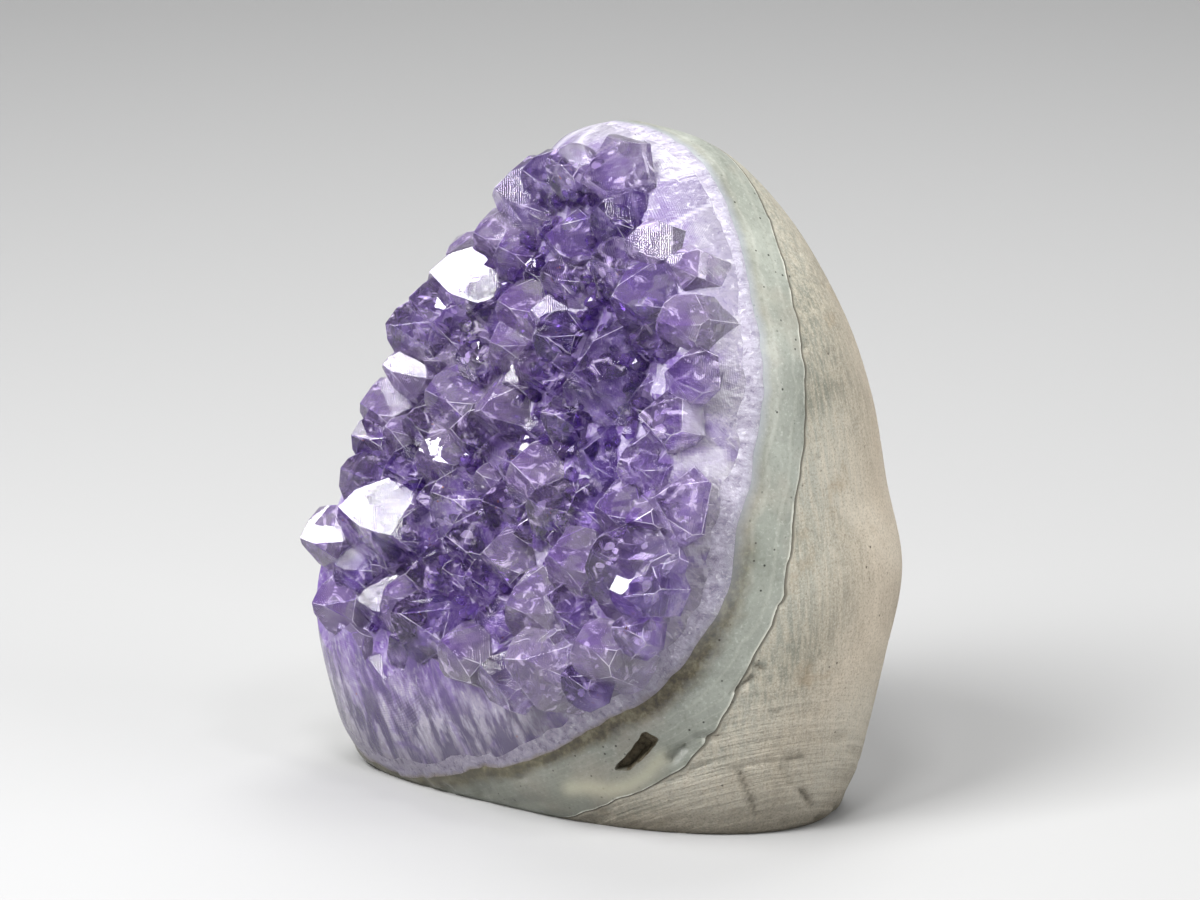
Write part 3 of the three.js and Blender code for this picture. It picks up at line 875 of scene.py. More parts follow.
        def before(p: np.ndarray) -> bool:
            """Whether a place lies more than stand in front of the wall."""
            return (self.wall.at(p[0], p[2]) - p[1]) * -self.wall.growth(p[0], p[2])[1] - stand > 0

        return self.view.hit(across, rise, (-120, 120), before)

    def plant(self, tip: np.ndarray, way: np.ndarray, width: float, turn: float, stand: float) -> None:
        """Adds a crystal that grows along a way up to its tip."""
        self.crystals.append(Crystal(tip, way / np.linalg.norm(way), width, turn, stand))

    def root_at(self, x: float, z: float) -> np.ndarray:
        """The place on the wall at x and z."""
        return np.array([x, float(self.wall.at(x, z)), z])

    def set_out(self) -> None:
        """Places every crystal and cuts its faces."""
        for across, rise, width, turn, lean_right, lean_up, stand in self.main:
            tip = self.seen_on_wall(across, rise, stand)
            way = self.wall.growth(tip[0], tip[2]) + self.view.right * lean_right + self.view.up * lean_up
            self.plant(tip, way, width, turn, stand)
        self.sow(self.fill)
        self.sow(self.young)
        random, tone = random_from(self.face_seed), random_from(self.tone_seed)
        for crystal in self.crystals:
            length = crystal.stand - self.root_cover
            crystal.cut_faces(random, length, self.point_shift, self.side_shift, self.point_angle)
            crystal.tone = tone()
            crystal.clarity = Clarity.CLOUDY if tone() < self.cloudy_share else Clarity.CLEAR
            x, _, z = crystal.tip
            well_in = x < 0 or self.outline.outwardness(self.root_at(x, z))[0] < self.free_inside
            self.free.append(bool(self.free_low < z < self.free_top and well_in))

    def sow(self, sowing: Sowing) -> None:
        """Strews crystals over the wall and keeps those that find room between the others."""
        random = random_from(sowing.seed)
        heights, edges = zip(*self.far_side)
        for _ in range(sowing.tries):
            x, z = between(self.span, random()), between(sowing.heights, random())
            width = between(sowing.widths, random() ** sowing.smallness)
            stand = between(sowing.stands, random())
            stray = np.array([sowing.tilt * (2 * random() - 1) for _ in range(3)])
            turn = 60 * random()
            growth = self.wall.growth(x, z)
            root = self.root_at(x, z)
            tip = root + growth * stand
            gaps = [np.linalg.norm(c.tip - tip) - sowing.spacing * (c.width + width) for c in self.crystals]
            room = min(gaps) > 0
            across, rise = self.view.place(tip[None])
            on_face = across[0] - width / 3 > np.interp(rise[0], heights, edges)
            if room and on_face and self.outline.outwardness(root)[0] <= sowing.inside:
                self.plant(tip, growth + stray, width, turn, stand)

    def inner_places(self, seed: int, each: int, deepest: float) -> np.ndarray:
        """Places inside the clear crystals that stand clear, one row each.

        Args:
            seed: Chooses the places.
            each: How many to try in each crystal.
            deepest: How far below the tip they reach.

        Returns:
            The places that lie well inside.
        """
        random = random_from(seed)
        places = []
        for crystal, clear in zip(self.crystals, self.free):
            if not clear or crystal.clarity is not Clarity.CLEAR:
                continue
            for _ in range(each):
                side = crystal.frame() @ [2 * random() - 1, 2 * random() - 1, 0.0]
                spot = crystal.tip - crystal.axis * (2.5 + (deepest - 2.5) * random())
                spot = spot + side * crystal.width / 2
                if (crystal.normals @ spot - crystal.reaches).max() < -1.1:
                    places.append(spot)
        return np.array(places)

    def joined(self, name: str, chosen: Iterable[Crystal]) -> Obj:
        """Crystals grown together into one closed mesh.

        Args:
            name: The object's name.
            chosen: The crystals.

        Returns:
            The joined mesh.
        """
        parts = []
        for number, crystal in enumerate(chosen):
            part = mesh_object(f"{name}_{number}", *crystal.solid())
            chamfer(part, self.edge_wear)
            parts.append(part)
        while len(parts) > 1:
            paired = []
            for i in range(0, len(parts) - 1, 2):
                paired.append(boolean(parts[i], parts[i + 1], "UNION"))
                discard(parts[i + 1])
            parts = paired + ([parts[-1]] if len(parts) % 2 else [])
        parts[0].name = name
        return parts[0]

    def mark(self, obj: Obj) -> None:
        """Stores what a material needs to know about each corner of the joined crystals.

        These are how far below its crystal's tip it lies, the crystal's tone, whether its face is a worn
        edge, whether it is ground, and on ground faces how near the next crystal is.
        """
        mesh = obj.data
        count = len(mesh.polygons)
        centres = read(mesh.polygons, "center", 3) / MM
        normals = read(mesh.polygons, "normal", 3)
        best = np.full(count, 1e9)
        second = np.full(count, 1e9)
        owner = np.zeros(count, dtype=int)
        grown = np.zeros(count, dtype=bool)
        worn = np.zeros(count, dtype=bool)
        for number, crystal in enumerate(self.crystals):
            gaps = centres @ crystal.normals.T - crystal.reaches
            outside = gaps.max(axis=1)
            face = gaps.argmax(axis=1)
            square = (normals * crystal.normals[face]).sum(axis=1)
            matches = (np.abs(outside) < 0.01) & (square > 0.999)
            chamfers = (np.abs(outside + self.edge_wear / 2) < self.edge_wear) & (square > 0.5)
            off_axis = centres - crystal.tip
            off_axis -= np.outer(off_axis @ crystal.axis, crystal.axis)
            beside = np.linalg.norm(off_axis, axis=1) - crystal.width / 2
            score = np.where(matches | chamfers, -99.0, beside)
            score += np.where(outside > 30, 50.0, 0.0)
            better = score < best
            second = np.where(better, best, np.minimum(second, score))
            best[better] = score[better]
            owner[better] = number
            grown |= matches
            worn |= chamfers
        on_outline = np.abs(self.outline.outwardness(centres) - 1) < 0.03
        worn &= ~grown & ~on_outline
        ground = ~grown & ~worn
        tips = np.array([c.tip for c in self.crystals])
        axes = np.array([c.axis for c in self.crystals])
        tones = np.array([c.tone for c in self.crystals])
        totals = read(mesh.polygons, "loop_total", kind=int)
        corner_owner = np.repeat(owner, totals)
        corners = points_of(obj)[read(mesh.loops, "vertex_index", kind=int)]
        down = ((tips[corner_owner] - corners) * axes[corner_owner]).sum(axis=1)
        write_values(obj, "below_tip", down, "CORNER")
        write_values(obj, "tone", tones[corner_owner], "CORNER")
        by_face = {"worn": worn, "ground": ground, "seam": np.where(ground, second - best, 9.0)}
        for name, values in by_face.items():
            write_values(obj, name, np.repeat(values, totals), "CORNER")
        mesh.polygons.foreach_set("use_smooth", ground)
        mesh.set_sharp_from_angle(angle=math.radians(20))
        mesh.update()


def feed(tree: bpy.types.NodeTree, target: Socket, value: object) -> None:
    """Links a value to a target, or sets the target's own value; three numbers are a display colour."""
    value = getattr(value, "socket", value)
    if isinstance(value, Socket):
        tree.links.new(value, target)
    elif target.type == "RGBA" and len(value) == 3:
        target.default_value = (*linear(*value), 1)
    else:
        target.default_value = value


def add_node(tree: bpy.types.NodeTree, kind: str, *values: object, **named: object) -> bpy.types.Node:
    """Adds a node and feeds its inputs.

    Args:
        tree: The node tree.
        kind: The node's type.
        values: What feeds the first inputs, in their order.
        named: What feeds inputs by name, with underscores for spaces. A name in small letters is a setting.

    Returns:
        The node.
    """
    node = tree.nodes.new(kind)
    settings = [name for name in named if name[0].islower()]
    for name in settings:
        setattr(node, name, named.pop(name))
    for target, value in zip([s for s in node.inputs if s.enabled], values):
        feed(tree, target, value)
    for name, value in named.items():
        feed(tree, node.inputs[name.replace("_", " ")], value)
    return node


@dataclass(frozen=True)
class Scatter:
    """Copies of one small shape set over a surface or over points by geometry nodes."""

    seed: int
    least: float
    most: float
    stray: float
    per_area: float = 0.0

    def tree(self) -> bpy.types.GeometryNodeTree:
        """The node tree, with one named input for each thing that a scatter can choose."""
        tree = bpy.data.node_groups.new("scatter", "GeometryNodeTree")
        kinds = {
            "Host": "Geometry", "Shape": "Object", "Per Area": "Float", "Seed": "Int",
            "Least": "Float", "Most": "Float", "Stray": "Float", "Finish": "Material",
        }
        for name, kind in kinds.items():
            tree.interface.new_socket(name=name, in_out="INPUT", socket_type=f"NodeSocket{kind}")
        tree.interface.new_socket(name="Grown", in_out="OUTPUT", socket_type="NodeSocketGeometry")
        given = tree.nodes.new("NodeGroupInput").outputs

        def add(kind: str, output: str | int, *values: object, **named: object) -> Socket:
            """One output of a new node."""
            return add_node(tree, kind, *values, **named).outputs[output]

        bounds = []
        for sign in (-1.0, 1.0):
            lean = add("ShaderNodeMath", 0, given["Stray"], sign, operation="MULTIPLY")
            bounds.append(add("ShaderNodeCombineXYZ", 0, lean, lean, sign * math.pi))
        seed = given["Seed"]
        angles = add("FunctionNodeRandomValue", "Value", *bounds, Seed=seed, data_type="FLOAT_VECTOR")
        way = add("FunctionNodeEulerToRotation", 0, angles)
        next_seed = add("ShaderNodeMath", 0, seed, 1.0)
        size = add("FunctionNodeRandomValue", "Value", given["Least"], given["Most"], Seed=next_seed)
        if self.per_area:
            spread = add_node(
                tree, "GeometryNodeDistributePointsOnFaces",
                Mesh=given["Host"], Density=given["Per Area"], Seed=seed,
            ).outputs
            way = add("FunctionNodeRotateRotation", 0, spread["Rotation"], way, rotation_space="LOCAL")
        else:
            spread = add_node(tree, "GeometryNodeMeshToPoints", given["Host"]).outputs
        shape = add("GeometryNodeObjectInfo", "Geometry", Object=given["Shape"])
        copies = add(
            "GeometryNodeInstanceOnPoints", 0,
            Points=spread["Points"], Instance=shape, Rotation=way, Scale=size,
        )
        real = add("GeometryNodeRealizeInstances", 0, copies)
        dressed = add("GeometryNodeSetMaterial", 0, real, Material=given["Finish"])
        add_node(tree, "NodeGroupOutput", Grown=dressed)
        return tree

    def grow(self, host: Obj, shape: Obj, finish: bpy.types.Material) -> Obj:
        """Turns a host mesh into the copies scattered over it.

        Args:
            host: The surface, or the points, that the copies stand on.
            shape: The shape that is copied.
            finish: The copies' material.

        Returns:
            The host object, now holding the copies as a plain mesh.
        """
        grower = host.modifiers.new("scatter", "NODES")
        grower.node_group = self.tree()
        chosen = {
            "Shape": shape, "Per Area": self.per_area, "Seed": self.seed,
            "Least": self.least, "Most": self.most, "Stray": self.stray, "Finish": finish,
        }
        for item in grower.node_group.interface.items_tree:
            if item.name in chosen:
                grower[item.identifier] = chosen[item.name]
        return baked(host)


class NodeSheet:
    """A material's node tree."""

    def __init__(self, name: str) -> None:
        """Makes an empty material with a Principled shader and an output."""
        self.material = bpy.data.materials.new(name)
        self.material.use_nodes = True
        self.tree = self.material.node_tree
        self.tree.nodes.clear()
        self.shader = self.tree.nodes.new("ShaderNodeBsdfPrincipled")
        self.output = add_node(self.tree, "ShaderNodeOutputMaterial", self.shader.outputs[0])

    def add(self, kind: str, output: str | int, *values: object, **named: object) -> "Field":
        """One output of a new node, whose inputs are fed in order and by name."""
        return Field(self, add_node(self.tree, kind, *values, **named).outputs[output])

    def place(self) -> "Field":
        """Object coordinates."""
        return self.add("ShaderNodeTexCoord", "Object")

    def stretched(self, scale: tuple[float, ...], turn: tuple[float, ...]) -> "Field":
        """Object coordinates turned, then scaled, so that a pattern runs along a direction."""
        angles = tuple(math.radians(a) for a in turn)
        turned = self.add("ShaderNodeMapping", 0, Vector=self.place(), Rotation=angles)
        return self.add("ShaderNodeMapping", 0, Vector=turned, Scale=scale)

    def attribute(self, name: str) -> "Field":
        """A number stored on the mesh."""
        return self.add("ShaderNodeAttribute", "Fac", attribute_name=name)

    def maths(self, operation: str, a: object, b: object = 0.0) -> "Field":
        """A sum of two numbers or fields."""
        return self.add("ShaderNodeMath", 0, a, b, operation=operation)

    def height(self) -> "Field":
        """The height in metres."""
        return self.add("ShaderNodeSeparateXYZ", "Z", self.place())

    def height_share(self, none: float, whole: float) -> "Field":
        """How low a place lies: 0 at one height and 1 at another, in metres."""
        return (self.height() * -1.0).span(-none, -whole)

    def finish(self, **values: object) -> bpy.types.Material:
        """The material, once the shader's inputs are fed by name."""
        for name, value in values.items():
            feed(self.tree, self.shader.inputs[name.replace("_", " ")], value)
        return self.material


@dataclass(frozen=True)
class Field:
    """A number, a colour or a place that a material works out at every point of a surface."""

    sheet: NodeSheet
    socket: Socket

    def __add__(self, other: object) -> "Field":
        """This field plus another."""
        return self.sheet.maths("ADD", self, other)

    def __radd__(self, other: float) -> "Field":
        """A number plus this field."""
        return self.sheet.maths("ADD", other, self)

    def __sub__(self, other: object) -> "Field":
        """This field less another."""
        return self.sheet.maths("SUBTRACT", self, other)

    def __rsub__(self, other: float) -> "Field":
        """A number less this field."""
        return self.sheet.maths("SUBTRACT", other, self)

    def __mul__(self, other: object) -> "Field":
        """This field times another."""
        return self.sheet.maths("MULTIPLY", self, other)

    def noise(self, scale: float, detail: float = 4.0, rough: float = 0.55, warp: float = 0.0) -> "Field":
        """Smooth random values from 0 to 1 at these places."""
        choices = {"Scale": scale, "Detail": detail, "Roughness": rough, "Distortion": warp}
        return self.sheet.add("ShaderNodeTexNoise", "Fac", Vector=self, **choices)

    def warped(self, scale: float, reach: float) -> "Field":
        """These places pushed about by smooth random values, up to a reach in metres."""
        away = self.sheet.add("ShaderNodeTexNoise", "Color", Vector=self, Scale=scale)
        push = self.sheet.add("ShaderNodeVectorMath", 0, away, operation="SCALE", Scale=reach)
        return self.sheet.add("ShaderNodeVectorMath", 0, self, push)

    def cells(self, scale: float, feature: str = "F1") -> "Field":
        """Distances from these places to scattered points, or to the edges between their cells."""
        return self.sheet.add("ShaderNodeTexVoronoi", "Distance", feature=feature, Vector=self, Scale=scale)

    def cell_value(self, scale: float) -> "Field":
        """One random value from 0 to 1 for the whole of each scattered cell."""
        cell = self.sheet.add("ShaderNodeTexVoronoi", "Color", Vector=self, Scale=scale)
        return self.sheet.add("ShaderNodeSeparateColor", 0, cell)

    def span(self, low: float, high: float, to_low: float = 0.0, to_high: float = 1.0) -> "Field":
        """Maps a range of this number onto another range, and holds it at the ends."""
        return self.sheet.add("ShaderNodeMapRange", 0, self, low, high, to_low, to_high)

    def ramp(self, *stops: tuple[float, tuple[float, float, float]]) -> "Field":
        """Turns this number into a colour by stops of place and display colour."""
        node = add_node(self.sheet.tree, "ShaderNodeValToRGB", self)
        elements = node.color_ramp.elements
        while len(elements) < len(stops):
            elements.new(0.5)
        for element, (at, colour) in zip(elements, stops):
            element.position = at
            element.color = (*linear(*colour), 1)
        return Field(self.sheet, node.outputs["Color"])

    def blend(self, other: object, share: object) -> "Field":
        """This colour mixed with another by the other's share."""
        return self.sheet.add("ShaderNodeMix", "Result", share, self, other, data_type="RGBA")

    def bump(self, strength: float, distance: float, **under: object) -> "Field":
        """A normal bumped by this height, distance in metres, over the Normal given."""
        under |= {"Strength": strength, "Distance": distance, "Height": self}
        return self.sheet.add("ShaderNodeBump", 0, **under)


@dataclass(frozen=True)
class AmethystFinish:
    """Violet crystal, paler and milkier towards its root, with worn edges and fine growth lines."""

    name: str
    transmission: float
    density: float
    point: tuple[float, float, float]
    middle: tuple[float, float, float]
    absorb: tuple[float, float, float] = (0.62, 0.34, 0.87)

    def columns(self, sheet: NodeSheet) -> Field:
        """Random values that run along the crystals, upwards at the foot and forwards higher up."""
        low = sheet.stretched((1.0, 0.1, 1.0), (58, 0, 12)).noise(330, 4, 0.6, 0.3)
        high = sheet.stretched((1.0, 0.12, 1.0), (16, 0, 6)).noise(330, 4, 0.6, 0.3)
        height = sheet.height().span(0.022, 0.034)
        turned = high * height
        upright = low * (1.0 - height)
        return turned + upright

    def make(self) -> bpy.types.Material:
        """The material."""
        sheet = NodeSheet(self.name)
        place = sheet.place()
        below = sheet.attribute("below_tip")
        tone = sheet.attribute("tone")
        ground = sheet.attribute("ground")
        depth = sheet.attribute("behind_wall")
        cloud = place.noise(200, 5, 0.6)
        fade = below + cloud * 9.0
        body = fade.span(3.5, 15.0).ramp(
            (0.0, self.point), (0.4, self.middle), (0.7, (232, 220, 244)), (1.0, (250, 248, 253))
        )
        light = body.blend((236, 222, 252), tone.span(0.6, 1.0, 0.0, 0.55))
        paler = light.blend((238, 226, 252), place.noise(34, 2, 0.4).span(0.48, 0.6, 0.0, 0.6))
        deeper = paler.blend((128, 76, 208), tone.span(0.0, 0.4, 0.6, 0.0))
        shard = sheet.stretched((1, 1, 1.7), (25, 40, 10)).warped(300, 0.003).cell_value(360)
        shards = shard.ramp(
            (0.0, (58, 26, 128)),
            (0.3, (134, 88, 210)),
            (0.55, (198, 166, 242)),
            (0.8, (236, 224, 252)),
            (1.0, (252, 250, 255)),
        )
        inner = deeper.blend(shards, 0.3)
        veils = place.noise(330, 5, 0.65, 1.2).span(0.55, 0.66, 0.0, 0.6)
        inner = inner.blend((236, 222, 252), veils * 0.8)
        columns = self.columns(sheet)
        cut_at = depth + columns * 16.0
        cut = cut_at.span(-10.0, 5.0).ramp(
            (0.0, (78, 46, 134)),
            (0.3, (118, 84, 168)),
            (0.5, (152, 130, 186)),
            (0.75, (190, 184, 200)),
            (1.0, (150, 144, 156)),
        )
        grown = sheet.stretched((1.0, 0.22, 1.0), (50, 0, 14)).warped(240, 0.0016)
        crackle = grown.cells(420, "DISTANCE_TO_EDGE")
        cut = cut.blend((214, 206, 228), crackle.span(0.0, 0.12, 0.22, 0.0))
        glassy = grown.noise(900, 6, 0.75, 0.6)
        cut = cut.blend((244, 242, 250), glassy.span(0.54, 0.7, 0.0, 0.8))
        cut = cut.blend((84, 66, 120), glassy.span(0.3, 0.44, 0.7, 0.0))
        blot = place.noise(150, 5, 0.65, 0.8).span(0.5, 0.62, 0.0, 0.6)
        lower = sheet.height_share(0.1, 0.06)
        cut = cut.blend((118, 86, 170), blot * lower.span(0.0, 1.0, 0.35, 1.0))
        upper = 1.0 - lower
        high_white = cut_at.span(-2.0, 4.0, 0.0, 0.45) * upper
        cut = cut.blend((226, 223, 234), high_white)
        # Painted shade: the cut crystals darken towards the foot of the stone, less on the pale streaks of
        # the columns.
        painted_low_shade = sheet.height_share(0.036, 0.014) * columns.span(0.45, 0.57, 0.9, 0.25)
        cut = cut.blend((50, 36, 80), painted_low_shade)
        flawed = 1.0 - sheet.height_share(0.06, 0.03)
        toned = flawed * tone.span(0.0, 0.5, 0.4, 0.0)
        cut = cut.blend((126, 104, 164), toned)
        cut = cut.blend((112, 106, 128), upper * 0.4)
        flaws = place.warped(300, 0.0025).noise(520, 6, 0.75, 0.9)
        cut = cut.blend((84, 66, 124), flawed * flaws.span(0.3, 0.45, 0.7, 0.0))
        cut = cut.blend((240, 238, 246), flawed * flaws.span(0.56, 0.68, 0.0, 0.8))
        mixed = inner.blend(cut, ground * 0.95)
        seam = sheet.attribute("seam") + cloud * -0.8
        wear = sheet.attribute("worn") * cloud.span(0.42, 0.62, 0.0, 0.85)
        edge_frost = 0.2 + flawed * 0.35
        # The edge frost is held back where shade is painted towards the foot.
        clear_of_painted_shade = edge_frost * (1.0 - painted_low_shade)
        grown_seam = seam.span(-0.2, 0.7, 1.0, 0.0) * clear_of_painted_shade
        frost = sheet.maths("MAXIMUM", grown_seam, wear)
        veined = mixed.blend((246, 243, 252), frost * 0.8)
        specks = place.cells(420).span(0.05, 0.12, 1.0, 0.0)
        rare = place.noise(90, 2).span(0.62, 0.68)
        colour = veined.blend((150, 92, 52), specks * rare)
        veil = sheet.stretched((1, 1, 2.4), (20, 35, 10)).noise(300, 6, 0.7, 0.6)
        clear = veil.span(0.58, 0.85, 0.012, 0.12)
        rough = clear + ground * 0.2
        dulled = ground + frost + veils
        see_through = dulled.span(0.0, 1.0, self.transmission, 0.35 * self.transmission)
        along = sheet.add("ShaderNodeCombineXYZ", 0, below * 0.4)
        lines = sheet.add("ShaderNodeTexWave", "Fac", along, Scale=3.2, Distortion=2.5, Detail=3.0)
        ruled = lines * place.noise(55, 2).span(0.5, 0.62)
        fine = ruled.bump(0.6, 0.00005)
        waves = place.noise(190, 2, 0.5).bump(0.12, 0.0004, Normal=fine)
        fibres = (columns * ground).bump(0.8, 0.0007, Normal=waves)
        return sheet.finish(
            Base_Color=colour,
            Roughness=rough,
            Transmission_Weight=see_through,
            IOR=QUARTZ_INDEX,
            Normal=fibres,
        )
        absorb = sheet.add("ShaderNodeVolumeAbsorption", 0, Color=(*self.absorb, 1), Density=self.density)
        feed(sheet.tree, sheet.output.inputs["Volume"], absorb)


@dataclass(frozen=True)
class InclusionFinish:
    """What has grown on or inside the crystals: young points, veils or rust."""

    name: str
    colour: tuple[float, float, float]
    shade: tuple[float, float, float]
    transmission: float
    rough: float

    def make(self) -> bpy.types.Material:
        """The material."""
        sheet = NodeSheet(self.name)
        cloud = sheet.place().noise(420, 4, 0.6)
        colour = cloud.ramp((0.35, self.shade), (0.65, self.colour))
        return sheet.finish(
            Base_Color=colour,
            Roughness=cloud.span(0.3, 0.7, self.rough, 2 * self.rough),
            Transmission_Weight=self.transmission,
            IOR=QUARTZ_INDEX,
        )


@dataclass(frozen=True)
class MilkyQuartz:
    """White frosty quartz at the crystals' roots, blue-grey and brown next to the agate."""

    def make(self) -> bpy.types.Material:
        """The material."""
        sheet = NodeSheet("milky_quartz")
        place = sheet.place()
        depth = sheet.attribute("behind_wall")
        fibres = sheet.stretched((1.0, 0.16, 1.0), (12, 0, 6)).noise(700, 5, 0.65, 0.3)
        pale = fibres.ramp((0.25, (122, 114, 138)), (0.5, (166, 160, 178)), (0.75, (212, 208, 222)))
        glassy = place.warped(260, 0.0022).noise(1000, 6, 0.75, 0.6)
        flecked = pale.blend((96, 84, 116), glassy.span(0.3, 0.46, 0.75, 0.0))
        veined = flecked.blend((250, 249, 253), glassy.span(0.55, 0.7, 0.0, 0.8))
        grey = veined.blend((158, 158, 172), depth.span(-1.6, 0.0, 0.0, 0.6))
        rim_at = depth + place.noise(420, 5, 0.7) * 2.0
        low = sheet.height_share(0.045, 0.02)
        rim = rim_at.span(0.1, 1.4) * low.span(0.0, 1.0, 0.25, 0.85)
        # Painted shade: the quartz darkens towards the foot of the stone.
        painted_low_shade = grey.blend((74, 66, 84), sheet.height_share(0.034, 0.01) * 0.6)
        colour = painted_low_shade.blend((116, 104, 84), rim)
        bump = fibres.bump(0.5, 0.0004)
        frosty = glassy.bump(0.6, 0.0004, Normal=bump)
        return sheet.finish(
            Base_Color=colour,
            Roughness=fibres.span(0.3, 0.7, 0.2, 0.45),
            Subsurface_Weight=0.06,
            Subsurface_Scale=0.0015,
            Subsurface_Radius=(1.0, 0.8, 1.0),
            Normal=frosty,
        )


@dataclass(frozen=True)
class GroundAgate:
    """Grey-green agate, ground and half polished, with soft bands, dark specks and a brown rim."""

    def make(self) -> bpy.types.Material:
        """The material."""
        sheet = NodeSheet("ground_agate")
        place = sheet.place()
        depth = sheet.attribute("behind_wall")
        before = sheet.attribute("before_rock")
        clouds = place.noise(90, 5, 0.6, 0.6)
        base = clouds.ramp((0.3, (122, 125, 116)), (0.5, (148, 151, 142)), (0.7, (170, 173, 164)))
        wavy = depth + place.noise(110, 4) * 4.0
        pale = base.blend((138, 144, 134), wavy.span(5.0, 5.5, 0.0, 0.35))
        thin = sheet.maths("SINE", wavy * 1.7).span(0.7, 1.0, 0.0, 0.12)
        banded = pale.blend((206, 206, 194), thin)
        rosy = place.noise(60, 3).span(0.52, 0.66, 0.0, 0.35)
        tinted = banded.blend((178, 164, 150), rosy)
        dots = place.cells(520).span(0.07, 0.13, 1.0, 0.0)
        few = place.noise(150, 3).span(0.42, 0.5)
        mottle = place.noise(1500, 4, 0.7)
        mottled = tinted.blend((98, 100, 88), mottle.span(0.3, 0.46, 0.4, 0.0))
        mottled = mottled.blend((206, 208, 200), mottle.span(0.56, 0.7, 0.0, 0.35))
        spotted = mottled.blend((38, 38, 34), dots * few)
        low = sheet.height_share(0.062, 0.03)
        fuzz = place.noise(300, 6, 0.75) * 5.0
        rim_at = depth - fuzz - low * 2.4
        rim = rim_at.span(-3.0, 0.2, 1.0, 0.0)
        rim_colour = place.noise(500, 4, 0.7).ramp(
            (0.35, (54, 46, 34)), (0.5, (88, 80, 58)), (0.65, (124, 118, 94))
        )
        rimmed = spotted.blend(rim_colour, rim * low.span(0.0, 1.0, 0.45, 1.0))
        cool = depth.span(0.0, 1.8, 0.6, 0.0) * low.span(0.0, 1.0, 1.0, 0.0)
        cooled = rimmed.blend((154, 160, 172), cool)
        hollow = place.noise(900, 5, 0.7).ramp((0.35, (70, 62, 46)), (0.65, (140, 130, 108)))
        # Painted shade: the agate darkens towards the foot of the stone.
        painted_low_shade = cooled.blend((62, 62, 50), sheet.height_share(0.026, 0.004) * 0.6)
        cream = painted_low_shade.blend((190, 186, 162), sheet.attribute("cream") * 0.5)
        hollowed = cream.blend(hollow, sheet.attribute("hollow"))
        line = (before + clouds * 0.3).span(0.25, 0.6, 0.9, 0.0)
        edge = line * place.noise(170, 4, 0.65).span(0.42, 0.56, 0.1, 1.0)
        colour = hollowed.blend((208, 208, 196), edge)
        scratches = sheet.stretched((1, 1, 0.08), (0, 6, 0)).noise(1600, 4, 0.6)
        scratched = scratches.bump(0.2, 0.00008)
        bump = clouds.bump(0.2, 0.0006, Normal=scratched)
        return sheet.finish(
            Base_Color=colour,
            Roughness=scratches.span(0.3, 0.7, 0.3, 0.46) + sheet.attribute("hollow") * 0.4,
            Subsurface_Weight=0.06,
            Subsurface_Scale=0.0012,
            Subsurface_Radius=(1.0, 1.0, 0.9),
            Coat_Weight=0.12,
            Coat_Roughness=0.25,
            Normal=bump,
        )


@dataclass(frozen=True)
class GroundBasalt:
    """Weathered volcanic rock, ground smooth, grey next to the agate and warm beige further back."""

    def make(self) -> bpy.types.Material:
        """The material."""
        sheet = NodeSheet("ground_basalt")
        place = sheet.place()
        before = sheet.attribute("before_rock")
        clouds = place.noise(45, 6, 0.55, 0.4)
        beige = clouds.ramp((0.3, (168, 156, 138)), (0.5, (192, 180, 162)), (0.7, (208, 199, 183)))
        back = before + clouds * -9.0
        low = sheet.height_share(0.034, 0.012)
        greyness = sheet.maths("MAXIMUM", back.span(-26.0, -8.0, 0.0, 1.0), low * 0.55)
        grey = clouds.ramp((0.35, (128, 129, 117)), (0.65, (164, 164, 153)))
        body = beige.blend(grey, greyness)
        lines = sheet.stretched((1, 1, 0.03), (0, 4, 0)).noise(1300, 4, 0.6)
        sawn = sheet.stretched((0.05, 0.05, 1), (10, 26, 0)).noise(1100, 4, 0.6)
        lined = body.blend((208, 196, 176), lines.span(0.4, 0.62, 0.0, 0.4))
        scored = lined.blend((206, 198, 182), sawn.span(0.45, 0.62, 0.0, 0.55) * low)
        grain = place.noise(2600, 3, 0.75)
        dark = scored.blend((98, 88, 72), grain.span(0.3, 0.5, 0.55, 0.0))
        bright = dark.blend((222, 214, 200), grain.span(0.55, 0.72, 0.0, 0.45))
        stains = place.noise(120, 4, 0.6).span(0.6, 0.72, 0.0, 0.35)
        stained = bright.blend((140, 116, 82), stains)
        pores = place.cells(420).span(0.05, 0.11, 1.0, 0.0)
        few = place.noise(130, 3).span(0.52, 0.6)
        spots = pores * few
        spotted = stained.blend((66, 56, 44), spots * 0.8)
        # Painted shade: the bottom few millimetres darken where the stone meets the floor, broken up by the
        # grain.
        foot = sheet.height_share(0.006, 0.001) * grain.span(0.3, 0.6, 1.0, 0.5)
        with_painted_floor_shade = spotted.blend((84, 74, 58), foot * 0.7)
        marked = with_painted_floor_shade.blend((74, 66, 54), sheet.attribute("mark") * 0.55)
        crack = (before + grain * 0.5).span(-0.35, -0.05)
        cracked = marked.blend((70, 66, 56), crack * 0.75)
        # Painted shade: the rock darkens towards the floor.
        painted_low_shade = sheet.height_share(0.03, 0.0) * 0.42
        colour = cracked.blend((78, 74, 62), painted_low_shade)
        upright = lines.bump(0.4, 0.00018)
        level = (sawn * low).bump(1.0, 0.0006, Normal=upright)
        grained = grain.bump(0.35, 0.0001, Normal=level)
        bump = (spots * -1.0).bump(0.7, 0.0004, Normal=grained)
        return sheet.finish(Base_Color=colour, Roughness=grain.span(0.3, 0.7, 0.58, 0.85), Normal=bump)


# The cluster's pieces


